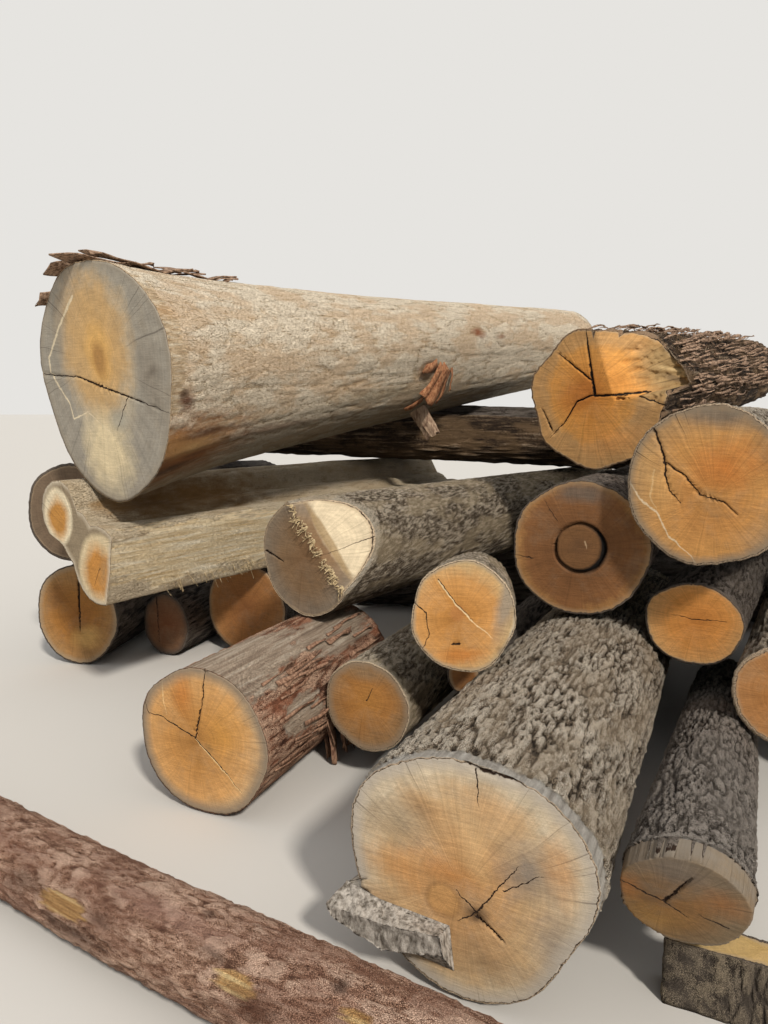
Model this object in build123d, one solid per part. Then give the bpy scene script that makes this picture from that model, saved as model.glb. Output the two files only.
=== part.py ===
from build123d import *
import math
import os
import numpy as np

# A heap of felled logs, millimetres, +Z up. Each log lies along its heading, counted from +Y towards +X.
# Heights come from seating each log on the ones under it; the numbers below are starting guesses for it.

SEAT_GAP = 0.3
SIDES = 36
UNEVEN = [(5, 0.010), (7, 0.007)]

FRONT = dict(face=(218, 1825), heading=25.5, length=3000, butt=350, top=300, lobes=[(3, 0.05, 28), (1, 0.03, 170)])
FRONT_BARK = 12
FRONT_BARK_START = 70
HEWN_CORNER = (255, -165)
HEWN_REACH = 350
SPUR_DEPTH = 60
SPUR_NEAR = [(-394, -152), (-225, -160), (-53, -142), (-40, -198), (-225, -238), (-378, -187)]
SPUR_FACE = [(-356, -106), (-250, -133), (-48, -148), (-32, -275), (-225, -255), (-345, -195)]
SPUR_ROOT = [(-315, -80), (-245, -100), (-60, -120), (-50, -240), (-215, -215), (-305, -130)]
SPUR_ROOT_DEPTH = 220

PEELED = dict(face=(-692, 2765), heading=24, length=1150, butt=297, top=282)
LOW_LEFT = dict(face=(-1825, 4430), heading=10, length=2800, butt=285, top=260, lobes=[(2, 0.08, 90)])
SMALL_LEFT = dict(face=(-1352, 4592), heading=22, length=2400, butt=184, top=170, lobes=[(2, 0.08, 90)])
SHADED = dict(face=(-852, 4600), heading=26, length=1000, butt=300, top=290)
PROP = dict(face=(185, 2990), heading=28, length=1300, butt=120, top=140)
CROSS = dict(face=(2700, 5330), heading=-80, length=2950, butt=300, top=280)
RIGHT_GROUND = dict(face=(2030, 2800), heading=28, length=2600, butt=250, top=240)

BILLET_AT = (950, 1785)
BILLET_TURN = -26
BILLET_WIDE = 430
BILLET_DEEP = 110
BILLET_HEIGHT = 190
BILLET_BULGE = 40

FURROWED = dict(face=(687, 1615), heading=26.5, length=2345, butt=168, top=150)
FURROWED_BARK = 16
FURROWED_BARK_START = 100
FURROWED_CUT_AT = 101
FURROWED_CUT_LEAN = 31.6
FURROWED_CUT_TURN = 3.6

RIGHT_EDGE = dict(face=(1470, 2640), heading=30, length=2000, butt=197, top=188)
LOW_MIDDLE = dict(face=(-50, 2955), heading=28, length=1400, butt=200, top=190)
SMALL_RIGHT = dict(face=(1300, 3110), heading=31, length=2200, butt=192, top=180, lobes=[(2, -0.06, 90)])
RING = dict(face=(845, 3260), heading=24, length=2000, butt=300, top=285)
SHAKE_RADIUS = 0.37
SHAKE_WIDTH = 9
SHAKE_DEPTH = 40
STAMPED = dict(face=(1222, 2900), heading=38, length=2600, butt=314, top=287, lobes=[(6, 0.02, 20)])
RIGHT_UPPER = dict(face=(2150, 3350), heading=33, length=1600, butt=230, top=220)
JAMMED = dict(face=(260, 3080), heading=26, length=1200, butt=91, top=101)
MIDDLE = dict(face=(285, 2690), heading=10, length=580, butt=202, top=198, lobes=[(2, 0.05, 90)])
NOTCHED = dict(face=(-366, 3499), heading=38, length=3400, butt=282, top=238)
NOTCH_AT = 109
NOTCH_LEAN = 41
NOTCH_TURN = 54
TWIN = dict(face=(-1483, 3700), heading=36, length=3300, butt=250, top=225)
TWIN_STEMS = [(-188, 125, 160), (136, -120, 205), (-30, 0, 145)]
BEHIND_TWIN = dict(face=(-1815, 4380), heading=16, length=2600, butt=290, top=270)
TWIN_FLANK = 262
TWIN_FLANK_LEAN = 12
REAR = dict(face=(2650, 5350), heading=-82, length=4300, butt=195, top=172)
BACK = dict(face=(2500, 5800), heading=-82, length=3900, butt=222, top=205)
CROWN = dict(face=(-1322, 3655), heading=40, length=4600, butt=490, top=322, lobes=[(3, 0.03, 30)],
             flare=80, flare_len=450)
SPLIT = dict(face=(1075, 3947), heading=39.5, length=2700, butt=368, top=245, lobes=[(7, 0.03, 10)])
SPLIT_STEP = (70, -20)
SPLIT_STEP_DEPTH = (150, 330)
SPLIT_STAR = [(110, 330, 26), (147, 220, 16), (-12, 345, 22), (215, 250, 14)]
SPLIT_STAR_DEPTH = 90
STUB = dict(out=2080, turn=-62, radius=50, top=34, length=390)
TOE = dict(face=(450, 1270), heading=-58, length=4200, butt=150, top=120)


class Log:
    """A stem with many flat sides, its section scaled from butt to top, with a flare at the butt."""

    def __init__(self, face, heading, length, butt, top, height=None, top_height=None, lobes=(), flare=0,
                 flare_len=400, stems=(), lost=0):
        self.face = face
        self.heading = heading
        self.length = length
        self.butt = butt
        self.top = top
        self.lobes = list(lobes) + [(n, size, 11 * n + heading) for n, size in UNEVEN]
        self.flare = flare
        self.flare_len = flare_len
        self.stems = stems
        self.lost = lost
        self.spots = [0.0] + [flare_len * k for k in (0.3, 0.7, 1.2, 2.0, 3.2) if flare] + [float(length)]
        self.z0 = height if height is not None else butt
        self.z1 = top_height if top_height is not None else top
        self.shift = 0.0
        self.reach = length
        self.settle()

    def settle(self):
        h = math.radians(self.heading)
        p = math.asin(max(-0.9, min(0.9, (self.z1 - self.z0) / self.length)))
        self.along = np.array([math.cos(p) * math.sin(h), math.cos(p) * math.cos(h), math.sin(p)])
        self.right = np.array([math.cos(h), -math.sin(h), 0.0])
        self.up = np.cross(self.right, self.along)
        self.start = np.array([self.face[0], self.face[1], self.z0]) + self.right * self.shift
        turns = np.arange(SIDES + 1) * 2 * math.pi / SIDES
        self.corners = np.stack([self.swept(s, turns) for s in self.spots])

    def swept(self, s, a):
        """The radius of the round stem that the corners are taken from."""
        size = self.butt + (self.top - self.butt) * s / self.length + self.flare * math.exp(-s / self.flare_len)
        if self.stems:
            reach = [x * np.cos(a) + y * np.sin(a) for x, y, r in self.stems]
            inside = [r * r - x * x - y * y + d * d for (x, y, r), d in zip(self.stems, reach)]
            far = [np.where(i > 0, d + np.sqrt(np.maximum(i, 0)), 0) for d, i in zip(reach, inside)]
            return np.max(far, axis=0) * size / self.butt
        return size * (1 + sum(part * np.cos(n * (a - math.radians(at))) for n, part, at in self.lobes))

    def radius(self, s, a):
        """How far the flat side at the turn a lies from the axis, at the length s."""
        width = 2 * math.pi / SIDES
        s, a = np.broadcast_arrays(np.clip(s, 0, self.length), np.mod(a, 2 * math.pi))
        k = np.minimum((a / width).astype(int), SIDES - 1)
        span = np.clip(np.searchsorted(self.spots, s, side="right") - 1, 0, len(self.spots) - 2)
        spots = np.array(self.spots)
        t = (s - spots[span]) / (spots[span + 1] - spots[span])
        one = self.corners[span, k] * (1 - t) + self.corners[span + 1, k] * t
        two = self.corners[span, k + 1] * (1 - t) + self.corners[span + 1, k + 1] * t
        into = a - k * width
        return one * two * math.sin(width) / (one * np.sin(into) + two * np.sin(width - into))

    def skin(self, s, a):
        r = self.radius(s, a)
        return (self.start + s[..., None] * self.along + (r * np.cos(a))[..., None] * self.right
                + (r * np.sin(a))[..., None] * self.up)

    def clearance(self, points):
        q = points - self.start
        s = q @ self.along
        held = np.clip(s, 0, self.length)
        x = q @ self.right
        y = q @ self.up
        radial = np.hypot(x, y) - self.radius(held, np.arctan2(y, x))
        past = np.abs(s - held)
        return np.where(past > 0, np.hypot(np.maximum(radial, 0), past), radial)

    def ring(self, k, inset=0.0):
        turns = np.arange(SIDES) * 2 * math.pi / SIDES
        reach = self.corners[k][:SIDES] * (1 - inset / self.butt)
        centre = self.start + self.along * self.spots[k]
        return centre + np.outer(reach * np.cos(turns), self.right) + np.outer(reach * np.sin(turns), self.up)

    def body(self, inset=0.0):
        """Sections of the same shape at every spot, joined by flat sides."""
        rings = [[Vector(*point) for point in self.ring(k, inset)] for k in range(len(self.spots))]
        faces = [Face(Wire.make_polygon(ring, close=True)) for ring in (rings[0], rings[-1])]
        for one, two in zip(rings, rings[1:]):
            for k in range(SIDES):
                side = [one[k], one[(k + 1) % SIDES], two[(k + 1) % SIDES], two[k]]
                faces.append(Face(Wire.make_polygon(side, close=True)))
        return Solid(Shell(faces))

    def spot(self, s, x=0.0, y=0.0):
        return Vector(*(self.start + self.along * s + self.right * x + self.up * y))

    def plane(self, s, x=0.0, y=0.0):
        return Plane(origin=self.spot(s, x, y), x_dir=Vector(*self.right), z_dir=Vector(*self.along))


class Block:
    """The billet, as something to rest on: an upright block turned about +Z."""

    def __init__(self, at, turn, wide, deep, height):
        self.at = np.array([at[0], at[1], 0.0])
        self.across = np.array([math.cos(math.radians(turn)), math.sin(math.radians(turn)), 0.0])
        self.back = np.array([-self.across[1], self.across[0], 0.0])
        self.half = np.array([wide / 2, deep / 2])
        self.height = height
        self.reach = 2 * height

    def clearance(self, points):
        q = points - self.at
        over = [np.abs(q @ self.across) - self.half[0], np.abs(q @ self.back) - self.half[1], q[:, 2] - self.height]
        inside = np.minimum(np.max(over, axis=0), 0)
        return np.sqrt(sum(np.maximum(o, 0) ** 2 for o in over)) + inside

    def skin(self, s, a):
        """The first half of the range of s covers the walls and the second half covers the top."""
        wall = np.minimum(self.half[0] / np.maximum(np.abs(np.cos(a)), 1e-6),
                          self.half[1] / np.maximum(np.abs(np.sin(a)), 1e-6))
        r = wall * np.where(s <= self.height, 1.0, 2 - s / self.height)
        spot = self.at + (r * np.cos(a))[..., None] * self.across + (r * np.sin(a))[..., None] * self.back
        spot[..., 2] = np.minimum(s, self.height)
        return spot


def nearest(log, first, last, measure):
    """The least of a measure over the log's skin, found on a coarse grid and then on two finer ones."""
    spans = [(first, last), (0.0, 2 * math.pi)]
    counts = (40, 72)
    for _ in range(3):
        s, a = np.meshgrid(np.linspace(*spans[0], counts[0]), np.linspace(*spans[1], counts[1]), indexing="ij")
        found = measure(log.skin(s, a).reshape(-1, 3)).reshape(s.shape)
        i, j = np.unravel_index(np.argmin(found), found.shape)
        steps = [(spans[k][1] - spans[k][0]) / (counts[k] - 1) for k in (0, 1)]
        spans = [(max(first, s[i, j] - steps[0]), min(last, s[i, j] + steps[0])),
                 (a[i, j] - steps[1], a[i, j] + steps[1])]
        counts = (17, 17)
    return float(found.min())


def between(one, two):
    """The least distance between two logs, below nothing where they overlap."""
    return min(nearest(one, 0, one.reach, two.clearance), nearest(two, 0, two.reach, one.clearance))


def gap(log, rest, logs):
    """Distance from a log, or its near or far half, to another log, or from its near or far end to the ground,
    which it touches with no gap."""
    name, _, half = rest.partition(":")
    middle = log.length / 2
    first = middle if half == "far" else log.lost
    last = middle if half == "near" else log.length
    if name == "ground":
        return float(log.ring(-1 if half == "far" else 0)[:, 2].min()) + SEAT_GAP
    other = logs[name]

    def back(points):
        s = (points - log.start) @ log.along
        return log.clearance(points) + np.where((s < first) | (s > last), 1e4, 0)

    return min(nearest(log, first, last, other.clearance), nearest(other, 0, other.reach, back))


def seat(log, rests, ways, logs):
    """Moves a log by Newton steps until it lies the seating gap off everything it rests on."""
    step = dict(lift=1.0, z0=1.0, z1=1.0, shift=1.0, swell=1.0)
    limit = dict(lift=60, z0=60, z1=60, shift=30, swell=20)

    def move(way, by):
        if way == "lift":
            log.z0 += by
            log.z1 += by
        elif way == "swell":
            log.butt += by
            log.top += by
        else:
            setattr(log, way, getattr(log, way) + by)
        log.settle()

    for _ in range(30):
        off = np.array([gap(log, r, logs) for r in rests]) - SEAT_GAP
        if np.abs(off).max() < 0.03:
            break
        slopes = np.zeros((len(rests), len(ways)))
        for k, way in enumerate(ways):
            move(way, step[way])
            slopes[:, k] = (np.array([gap(log, r, logs) for r in rests]) - SEAT_GAP - off) / step[way]
            move(way, -step[way])
        change = np.linalg.lstsq(slopes, -off, rcond=1e-3)[0]
        ease = max(1.0, max(abs(change[k]) / limit[way] for k, way in enumerate(ways)))
        for k, way in enumerate(ways):
            move(way, float(change[k]) / ease)
    return float(np.abs(off).max())


def lay_out():
    """Every log in the order it was thrown on, each seated on the ones already there."""
    logs = {}
    ground = ["ground:near", "ground:far"]

    def lay(name, rests, ways, sizes, **more):
        log = Log(**sizes, **more)
        logs[name] = log
        log.off = seat(log, rests, ways, logs)
        return log

    both = ("z0", "z1")
    lay("front_log", ground, both, FRONT)
    lay("peeled_log", ground, both, PEELED)
    lay("low_left_log", ground, both, LOW_LEFT)
    lay("shaded_log", ground, both, SHADED)
    lay("small_left_log", ground + ["shaded_log"], ("z0", "z1", "shift"), SMALL_LEFT)
    lay("prop_log", ground, both, PROP)
    lay("cross_log", ground, both, CROSS)
    lay("right_ground_log", ground, both, RIGHT_GROUND)
    logs["standing_billet"] = Block(BILLET_AT, BILLET_TURN, BILLET_WIDE, BILLET_DEEP, BILLET_HEIGHT)
    lay("furrowed_log", ["standing_billet", "ground:far", "front_log"], ("z0", "z1", "shift"), FURROWED,
        height=386, top_height=150, lost=100)
    lay("right_edge_log", ["furrowed_log", "right_ground_log"], ("lift", "shift"), RIGHT_EDGE,
        height=575, top_height=540)
    lay("low_middle_log", ["prop_log:near", "prop_log:far", "peeled_log"], ("z0", "z1", "shift"), LOW_MIDDLE,
        height=370, top_height=360)
    lay("ring_log", ["front_log:near", "front_log:far"], both, RING, height=945, top_height=910)
    lay("small_right_log", ["front_log", "right_edge_log"], ("lift", "shift"), SMALL_RIGHT,
        height=680, top_height=650)
    lay("stamped_log", ["ring_log"], ("lift",), STAMPED, height=1235, top_height=1160)
    lay("right_upper_log", ["right_edge_log", "right_ground_log", "stamped_log"], ("lift", "shift", "swell"),
        RIGHT_UPPER, height=760, top_height=740)
    lay("middle_log", ["front_log"], ("lift",), MIDDLE, height=770, top_height=690)
    lay("jammed_log", ["low_middle_log", "front_log", "middle_log"], ("lift", "shift", "swell"), JAMMED,
        height=430, top_height=425)
    lay("notched_log", ["peeled_log", "cross_log"], both, NOTCHED, height=862, top_height=830)
    lay("twin_stem_log", ["shaded_log", "cross_log"], both, TWIN, stems=TWIN_STEMS, height=945, top_height=800)
    lay("behind_twin_log", ["low_left_log:near", "low_left_log:far"], both, BEHIND_TWIN,
        height=920, top_height=780)
    lay("rear_log", ["notched_log:near", "twin_stem_log:far"], both, REAR, height=1257, top_height=1250)
    lay("back_log", ["notched_log:near", "twin_stem_log:far"], both, BACK, height=1300, top_height=1290)
    lay("crown_log", ["twin_stem_log", "rear_log"], both, CROWN, height=1693, top_height=1900)
    lay("split_log", ["ring_log", "rear_log"], both, SPLIT, height=1600, top_height=1760)
    lay("foreground_log", ground, both, TOE)
    return logs


def slab(plane, wide, tall, deep):
    """A box whose back face lies on the plane, reaching out against its normal."""
    return plane * Pos(0, 0, -deep / 2) * Box(wide, tall, deep)


def bark_and_wood(log, bark, edge):
    """The wood as long as the log, with the bark sleeve starting behind the plane of its ragged edge."""
    wood = log.body(inset=bark)
    sleeve = log.body()
    return wood + (sleeve - slab(edge, 1400, 1400, 900))


def in_face(log, s, corners):
    """A flat outline standing in the log's face, s into the wood; its corners are across and up."""
    return Face(Wire.make_polygon([log.spot(s, x, y) for x, y in corners], close=True))


def build_all():
    logs = lay_out()
    made = {}
    for name, log in logs.items():
        if isinstance(log, Block) or name in ("front_log", "furrowed_log"):
            continue
        made[name] = log.body()

    # Butt log in front: thick bark starting behind the face, the lower right corner hewn away, and a spur of the
    # root standing out at the lower left, where two saw cuts did not meet.
    front = logs["front_log"]
    shape = bark_and_wood(front, FRONT_BARK, front.plane(FRONT_BARK_START) * Rot(6, 0, 0))
    corner = front.plane(0, *HEWN_CORNER) * Rot(0, 0, 12) * Pos(300, 300, 0) * Box(600, 600, 2 * HEWN_REACH)
    spur = loft([in_face(front, -SPUR_DEPTH, SPUR_NEAR), in_face(front, 0, SPUR_FACE),
                 in_face(front, SPUR_ROOT_DEPTH, SPUR_ROOT)], ruled=True)
    made["front_log"] = shape - corner + spur

    # Furrowed log: one oblique saw cut, overhanging, with a barkless band behind it.
    furrowed = logs["furrowed_log"]
    lean = Rot(FURROWED_CUT_LEAN, -FURROWED_CUT_TURN, 0)
    edge = furrowed.plane(FURROWED_CUT_AT + FURROWED_BARK_START) * lean
    shape = bark_and_wood(furrowed, FURROWED_BARK, edge)
    made["furrowed_log"] = shape - slab(furrowed.plane(FURROWED_CUT_AT) * lean, 1200, 1200, 400)

    # Ring log: the heart has come away round a growth ring.
    ring = logs["ring_log"]
    shake = SHAKE_RADIUS * ring.butt
    groove = Cylinder(shake, 2 * SHAKE_DEPTH) - Cylinder(shake - SHAKE_WIDTH, 2 * SHAKE_DEPTH)
    made["ring_log"] = made["ring_log"] - ring.plane(0) * groove

    # Notched log: a second saw cut takes the right of the face back to a facet.
    notched = logs["notched_log"]
    facet = notched.plane(0, NOTCH_AT) * Rot(0, 0, -NOTCH_LEAN) * Rot(0, -NOTCH_TURN, 0)
    made["notched_log"] = made["notched_log"] - slab(facet, 1600, 1600, 700)

    # Twin stems grown together, with the near flank sawn flat.
    twin = logs["twin_stem_log"]
    flank = twin.plane(twin.length / 2, TWIN_FLANK) * Rot(0, 0, TWIN_FLANK_LEAN) * Pos(200, 0, 0)
    made["twin_stem_log"] = made["twin_stem_log"] - flank * Box(400, 1200, 2 * twin.length)

    # Split log: star cracks run in from the face, and the right of the end has broken away in two steps.
    split = logs["split_log"]
    shape = made["split_log"]
    for turn, reach, wide in SPLIT_STAR:
        crack = split.plane(0) * Rot(0, 0, -turn) * Pos(reach / 2, 0, 0)
        shape = shape - crack * Box(reach, wide, 2 * SPLIT_STAR_DEPTH)
    for k, depth in enumerate(SPLIT_STEP_DEPTH):
        corner = split.plane(0, SPLIT_STEP[0] + 95 * k, SPLIT_STEP[1]) * Rot(0, 0, -14)
        shape = shape - corner * Pos(300, -300, 0) * Box(600, 600, 2 * depth)
    made["split_log"] = shape

    # Crown log: the stub of a torn branch on the side to the front.
    crown = logs["crown_log"]
    root = crown.plane(STUB["out"]) * Rot(0, 0, -STUB["turn"]) * Rot(0, 78, 0)
    start = crown.top * 0.7
    stub = root * Pos(0, 0, start + STUB["length"] / 2) * Cone(STUB["radius"], STUB["top"], STUB["length"])
    made["crown_log"] = made["crown_log"] + stub

    # Billet: a short thick slab split off a log, standing on its sawn end with the split side to the front.
    block = logs["standing_billet"]
    base = Plane(origin=Vector(*block.at), x_dir=Vector(*block.across), z_dir=(0, 0, 1))
    w, d = block.half
    with_bulge = [(-w, -d), (w, -d), (w, d - BILLET_BULGE), (w * 0.6, d - BILLET_BULGE * 0.3), (0, d), (-w, d)]
    outline = Face(Wire.make_polygon([base.from_local_coords((x, y, 0)) for x, y in with_bulge], close=True))
    made["standing_billet"] = extrude(outline, amount=block.height, dir=(0, 0, 1))

    boxes = [shape.bounding_box() for shape in made.values()]
    low = [min(getattr(b.min, axis) for b in boxes) for axis in "XYZ"]
    high = [max(getattr(b.max, axis) for b in boxes) for axis in "XYZ"]
    home = Location((-(low[0] + high[0]) / 2, -(low[1] + high[1]) / 2, -low[2]))
    return {name: shape.moved(home) for name, shape in made.items()}


def main():
    os.makedirs("parts", exist_ok=True)
    for name, shape in build_all().items():
        export_step(shape, "parts/" + name + ".step")


if __name__ == "__main__":
    main()
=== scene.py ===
import math
import random

import bmesh
import bpy
import numpy as np
from mathutils import Matrix, Vector, noise
from mathutils.bvhtree import BVHTree


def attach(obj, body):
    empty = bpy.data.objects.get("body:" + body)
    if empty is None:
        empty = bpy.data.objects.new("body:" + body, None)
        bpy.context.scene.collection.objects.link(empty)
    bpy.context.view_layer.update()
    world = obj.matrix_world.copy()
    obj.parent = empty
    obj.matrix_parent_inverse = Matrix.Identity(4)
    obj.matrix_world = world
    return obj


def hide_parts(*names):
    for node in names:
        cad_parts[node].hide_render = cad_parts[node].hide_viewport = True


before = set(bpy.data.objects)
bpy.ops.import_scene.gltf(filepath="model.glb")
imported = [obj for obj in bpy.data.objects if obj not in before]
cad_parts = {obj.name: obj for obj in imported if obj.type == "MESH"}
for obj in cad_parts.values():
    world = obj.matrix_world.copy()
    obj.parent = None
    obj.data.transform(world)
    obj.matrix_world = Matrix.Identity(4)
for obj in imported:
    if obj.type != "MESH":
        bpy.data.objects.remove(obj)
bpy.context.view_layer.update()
random.seed(11)
noise.seed_set(11)
print("frame loaded:", len(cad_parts), "stems")

eye = {
    "spot": (-0.1451, -4.2589, 1.6000),  # a phone held at eye height
    "pitchDown": 8.65,
    "lens": 27.035,
    "sensor": 36.0,
}


# a colour is written as it looks on screen
def tone(text):
    channels = [int(text[k:k + 2], 16) / 255 for k in (0, 2, 4)]
    return tuple(c / 12.92 if c < 0.04045 else ((c + 0.055) / 1.055) ** 2.4 for c in channels) + (1.0,)


def smooth(low, high, value):
    t = min(max((value - low) / (high - low), 0.0), 1.0)
    return t * t * (3 - 2 * t)


mergeWithin = 0.00002
endSlice = 0.002  # what counts as a stem's very end


# a stem's place, read from its CAD node
def readStem(node, axis=None, faceStep=0.0):
    bm = bmesh.new()
    bm.from_mesh(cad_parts[node].data)
    bmesh.ops.remove_doubles(bm, verts=bm.verts, dist=mergeWithin)
    tree = BVHTree.FromBMesh(bm)
    normals = np.array([f.normal for f in bm.faces])
    areas = np.array([f.calc_area() for f in bm.faces])
    points = np.array([v.co for v in bm.verts])
    bm.free()
    if axis is None:
        keep = np.ones(len(areas), bool)
        for _ in range(4):  # the flat sides all stand square to the axis
            n = normals[keep]
            spread = (n * areas[keep, None]).T @ n
            axis = np.linalg.eigh(spread)[1][:, 0]
            keep = np.abs(normals @ axis) < 0.12
    axis = np.array(axis, float)
    reach = points @ axis
    ends = [points[reach < reach.min() + endSlice].mean(0), points[reach > reach.max() - endSlice].mean(0)]
    near = [np.hypot(*(e[:2] - np.array(eye["spot"][:2]))) for e in ends]
    if near[0] > near[1] and abs(axis[2]) < 0.9:
        axis, reach, ends = -axis, -reach, ends[::-1]
    along = Vector(axis).normalized()
    right = along.cross(Vector((0, 0, 1)))
    right = right.normalized() if right.length > 0.1 else Vector((1, 0, 0))
    up = right.cross(along)
    length = reach.max() - reach.min() - faceStep
    origin = Vector(ends[1]) - along * length
    far = points[reach > reach.max() - endSlice]
    radius = float(np.linalg.norm(far - far.mean(0), axis=1).mean())
    return {"tree": tree, "origin": origin, "along": along, "right": right, "up": up,
            "length": float(length), "radius": radius, "reach": radius * 1.9 + 0.15}


# how far the skin lies from the stem's axis
def skinRadius(stem, s, turn):
    most = stem["reach"]
    out = stem["right"] * math.cos(turn) + stem["up"] * math.sin(turn)
    start = stem["origin"] + stem["along"] * s + out * most
    hit = stem["tree"].ray_cast(start, -out, most)[0]
    return None if hit is None else most - (hit - start).length


# how far behind the foremost point the sawn face lies
def faceDepth(stem, across, rise):
    ahead = 0.001
    side = stem["right"] * across + stem["up"] * rise
    start = stem["origin"] - stem["along"] * ahead + side
    hit = stem["tree"].ray_cast(start, stem["along"], 1.5)[0]
    return None if hit is None else (hit - start).length - ahead


# a spot on a stem: so far along it, at this turn in degrees, and so far out from its skin
def spotOn(stem, s, turn, out=0.0):
    a = math.radians(turn)
    r = skinRadius(stem, max(s, 0.01), a) or stem["radius"]
    side = stem["right"] * math.cos(a) + stem["up"] * math.sin(a)
    return stem["origin"] + stem["along"] * s + side * (r + out)


barkNoise = {
    "seedStep": 7.3,
    "bendScale": 0.45,
    "crumbScale": 2.3,  # crumbs to a plate
    "crumbGap": 0.35,
    "grainWide": 0.011,
    "grainLong": 0.04,
    "wornWide": 6,
    "wornLong": 3,
    "leastFurrow": 0.55,  # what is left of a furrow where the bark is worn
}


# bark relief, 0 in the furrows and 1 on the ridges
def barkHeight(look, x, y, s):
    seed = look["seed"] * barkNoise["seedStep"]
    place = Vector((x / look["wide"], y / look["wide"], s / look["long"] + seed))
    place = place + noise.noise_vector(place * barkNoise["bendScale"]) * look["warp"]
    near, spots = noise.voronoi(place)
    furrow = smooth(0.0, look["gap"], near[1] - near[0])
    small = noise.voronoi(place * barkNoise["crumbScale"])[0]
    crumb = smooth(0.0, barkNoise["crumbGap"], small[1] - small[0])
    plate = noise.cell(spots[0] * 9.0 + Vector((seed, 0, 0)))
    wide, long = barkNoise["grainWide"], barkNoise["grainLong"]
    grain = noise.noise(Vector((x / wide, y / wide, s / long + seed)))
    wide, long = barkNoise["wornWide"], barkNoise["wornLong"]
    worn = 0.5 + 0.5 * noise.noise(Vector((x * wide, y * wide, s * long + seed)))
    least = barkNoise["leastFurrow"]
    furrow = 1 - (1 - furrow) * (least + (1 - least) * worn)
    height = furrow * (1 - look["crumb"] * (1 - crumb)) * (1 - look["plates"] * abs(plate))
    return min(max(height + grain * look["grain"], 0.0), 1.0)


# how far the bark has come away at a spot, 0 none and 1 all
def bareShare(look, s, turn):
    share = 0.0
    for at, middle, halfLong, halfTurn in look["bare"]:
        off = (turn - middle + 180) % 360 - 180
        reach = math.hypot((s - at) / halfLong, off / halfTurn)
        if reach < 1.7:
            ragged = noise.noise(Vector((turn * 0.11, s * 5, look["seed"]))) * 0.35
            ragged += noise.noise(Vector((turn * 0.4, s * 19, look["seed"]))) * 0.34
            share = max(share, 1 - smooth(0.93, 1.07, reach + ragged))
    return share


# how far a spot on the face lies from a drying crack, and how wide the crack is there
def crackAt(crack, x, y):
    path, width = crack[:2]
    best, found = 1.0, 0.0
    for k in range(len(path) - 1):
        (x0, y0), (x1, y1) = path[k], path[k + 1]
        span = math.hypot(x1 - x0, y1 - y0)
        t = ((x - x0) * (x1 - x0) + (y - y0) * (y1 - y0)) / span / span
        off = abs((x - x0) * (y1 - y0) - (y - y0) * (x1 - x0)) / span
        if 0 <= t <= 1 and off < best:
            best, found = off, width * (1 - (k + t) / (len(path) - 1)) ** 0.5
    return best, found


meshing = {
    "probe": 0.45,  # how far back a stem's usual radius is read
    "noLimit": 9.0,
    "nearRim": 0.94,  # where the depth of the face's rim is read, as a share of the radius
    "inside": 0.985,  # the same for the rest of the face
    "rimStep": 0.004,
    "bandReach": 0.27,  # the bark starts nearer than this to the face
    "bandSpan": 0.2,
    "bandUneven": ((0.022, 5), (0.012, 17)),
    "farRows": 4,
    "sawDeep": 0.0012,
    "wideCrack": 0.005,  # wider cracks are cut into the mesh too
    "crackDeep": 0.012,
    "crackSoft": 0.002,
    "slotWide": 0.024,
    "raggedFade": 0.05,  # how soon behind the face the bark has its full furrows
    "bareHeight": 0.12,
    "woodRelief": 0.1,
    "merge": 0.00005,
}


# a little uneven swelling of the whole stem
def swellAt(look, c, d, s):
    return look["swell"] * (noise.noise(Vector((c * 1.4 + look["seed"], d * 1.4, s * 1.1))) - 0.6)


# the CAD stem at one turn: its rim at the face, its far end, and where its bark starts
def measureTurn(stem, look, a):
    length, rimStep = stem["length"], meshing["rimStep"]
    limit = look.get("limit", meshing["noLimit"])
    guess = min(skinRadius(stem, min(meshing["probe"], length / 2), a) or stem["radius"], limit)
    nearRim = guess * meshing["nearRim"]
    depth = faceDepth(stem, math.cos(a) * nearRim, math.sin(a) * nearRim)
    depth = max(0.0, depth if depth is not None and depth < length * 0.6 else 0.0)
    measured = {
        "turn": a,
        "depth": depth,
        "radius": min(skinRadius(stem, depth + rimStep, a) or guess, limit),
        "farRadius": min(skinRadius(stem, length - rimStep, a) or guess, limit),
    }
    if look.get("band"):  # the bark starts at the step in the CAD stem
        behind, span = depth + meshing["bandReach"], meshing["bandSpan"]
        near, far = [skinRadius(stem, place, a) or guess for place in (behind, behind + span)]
        slope = (far - near) / span
        edge, reached = depth + 0.006, False
        while edge < behind and not reached:
            bark = near + slope * (edge - behind) - look["band"] / 2
            reached = (skinRadius(stem, edge, a) or 0) >= bark
            edge += 0 if reached else rimStep
        for uneven, scale in meshing["bandUneven"]:
            spot = Vector((math.cos(a) * scale, math.sin(a) * scale, look["seed"]))
            edge += uneven * noise.noise(spot)
        measured.update(barkEdge=max(edge, depth + rimStep), near=near, slope=slope, behind=behind)
    return measured


# a spot on the face moved onto the crease, if it is the nearest to it in its column
def ontoCrease(crease, x, y, within):
    lean = math.radians(crease["lean"])
    off = x * math.cos(lean) + y * math.sin(lean) - crease["at"]
    if abs(off) < within:
        return x - off * math.cos(lean), y - off * math.sin(lean)
    return x, y


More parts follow.
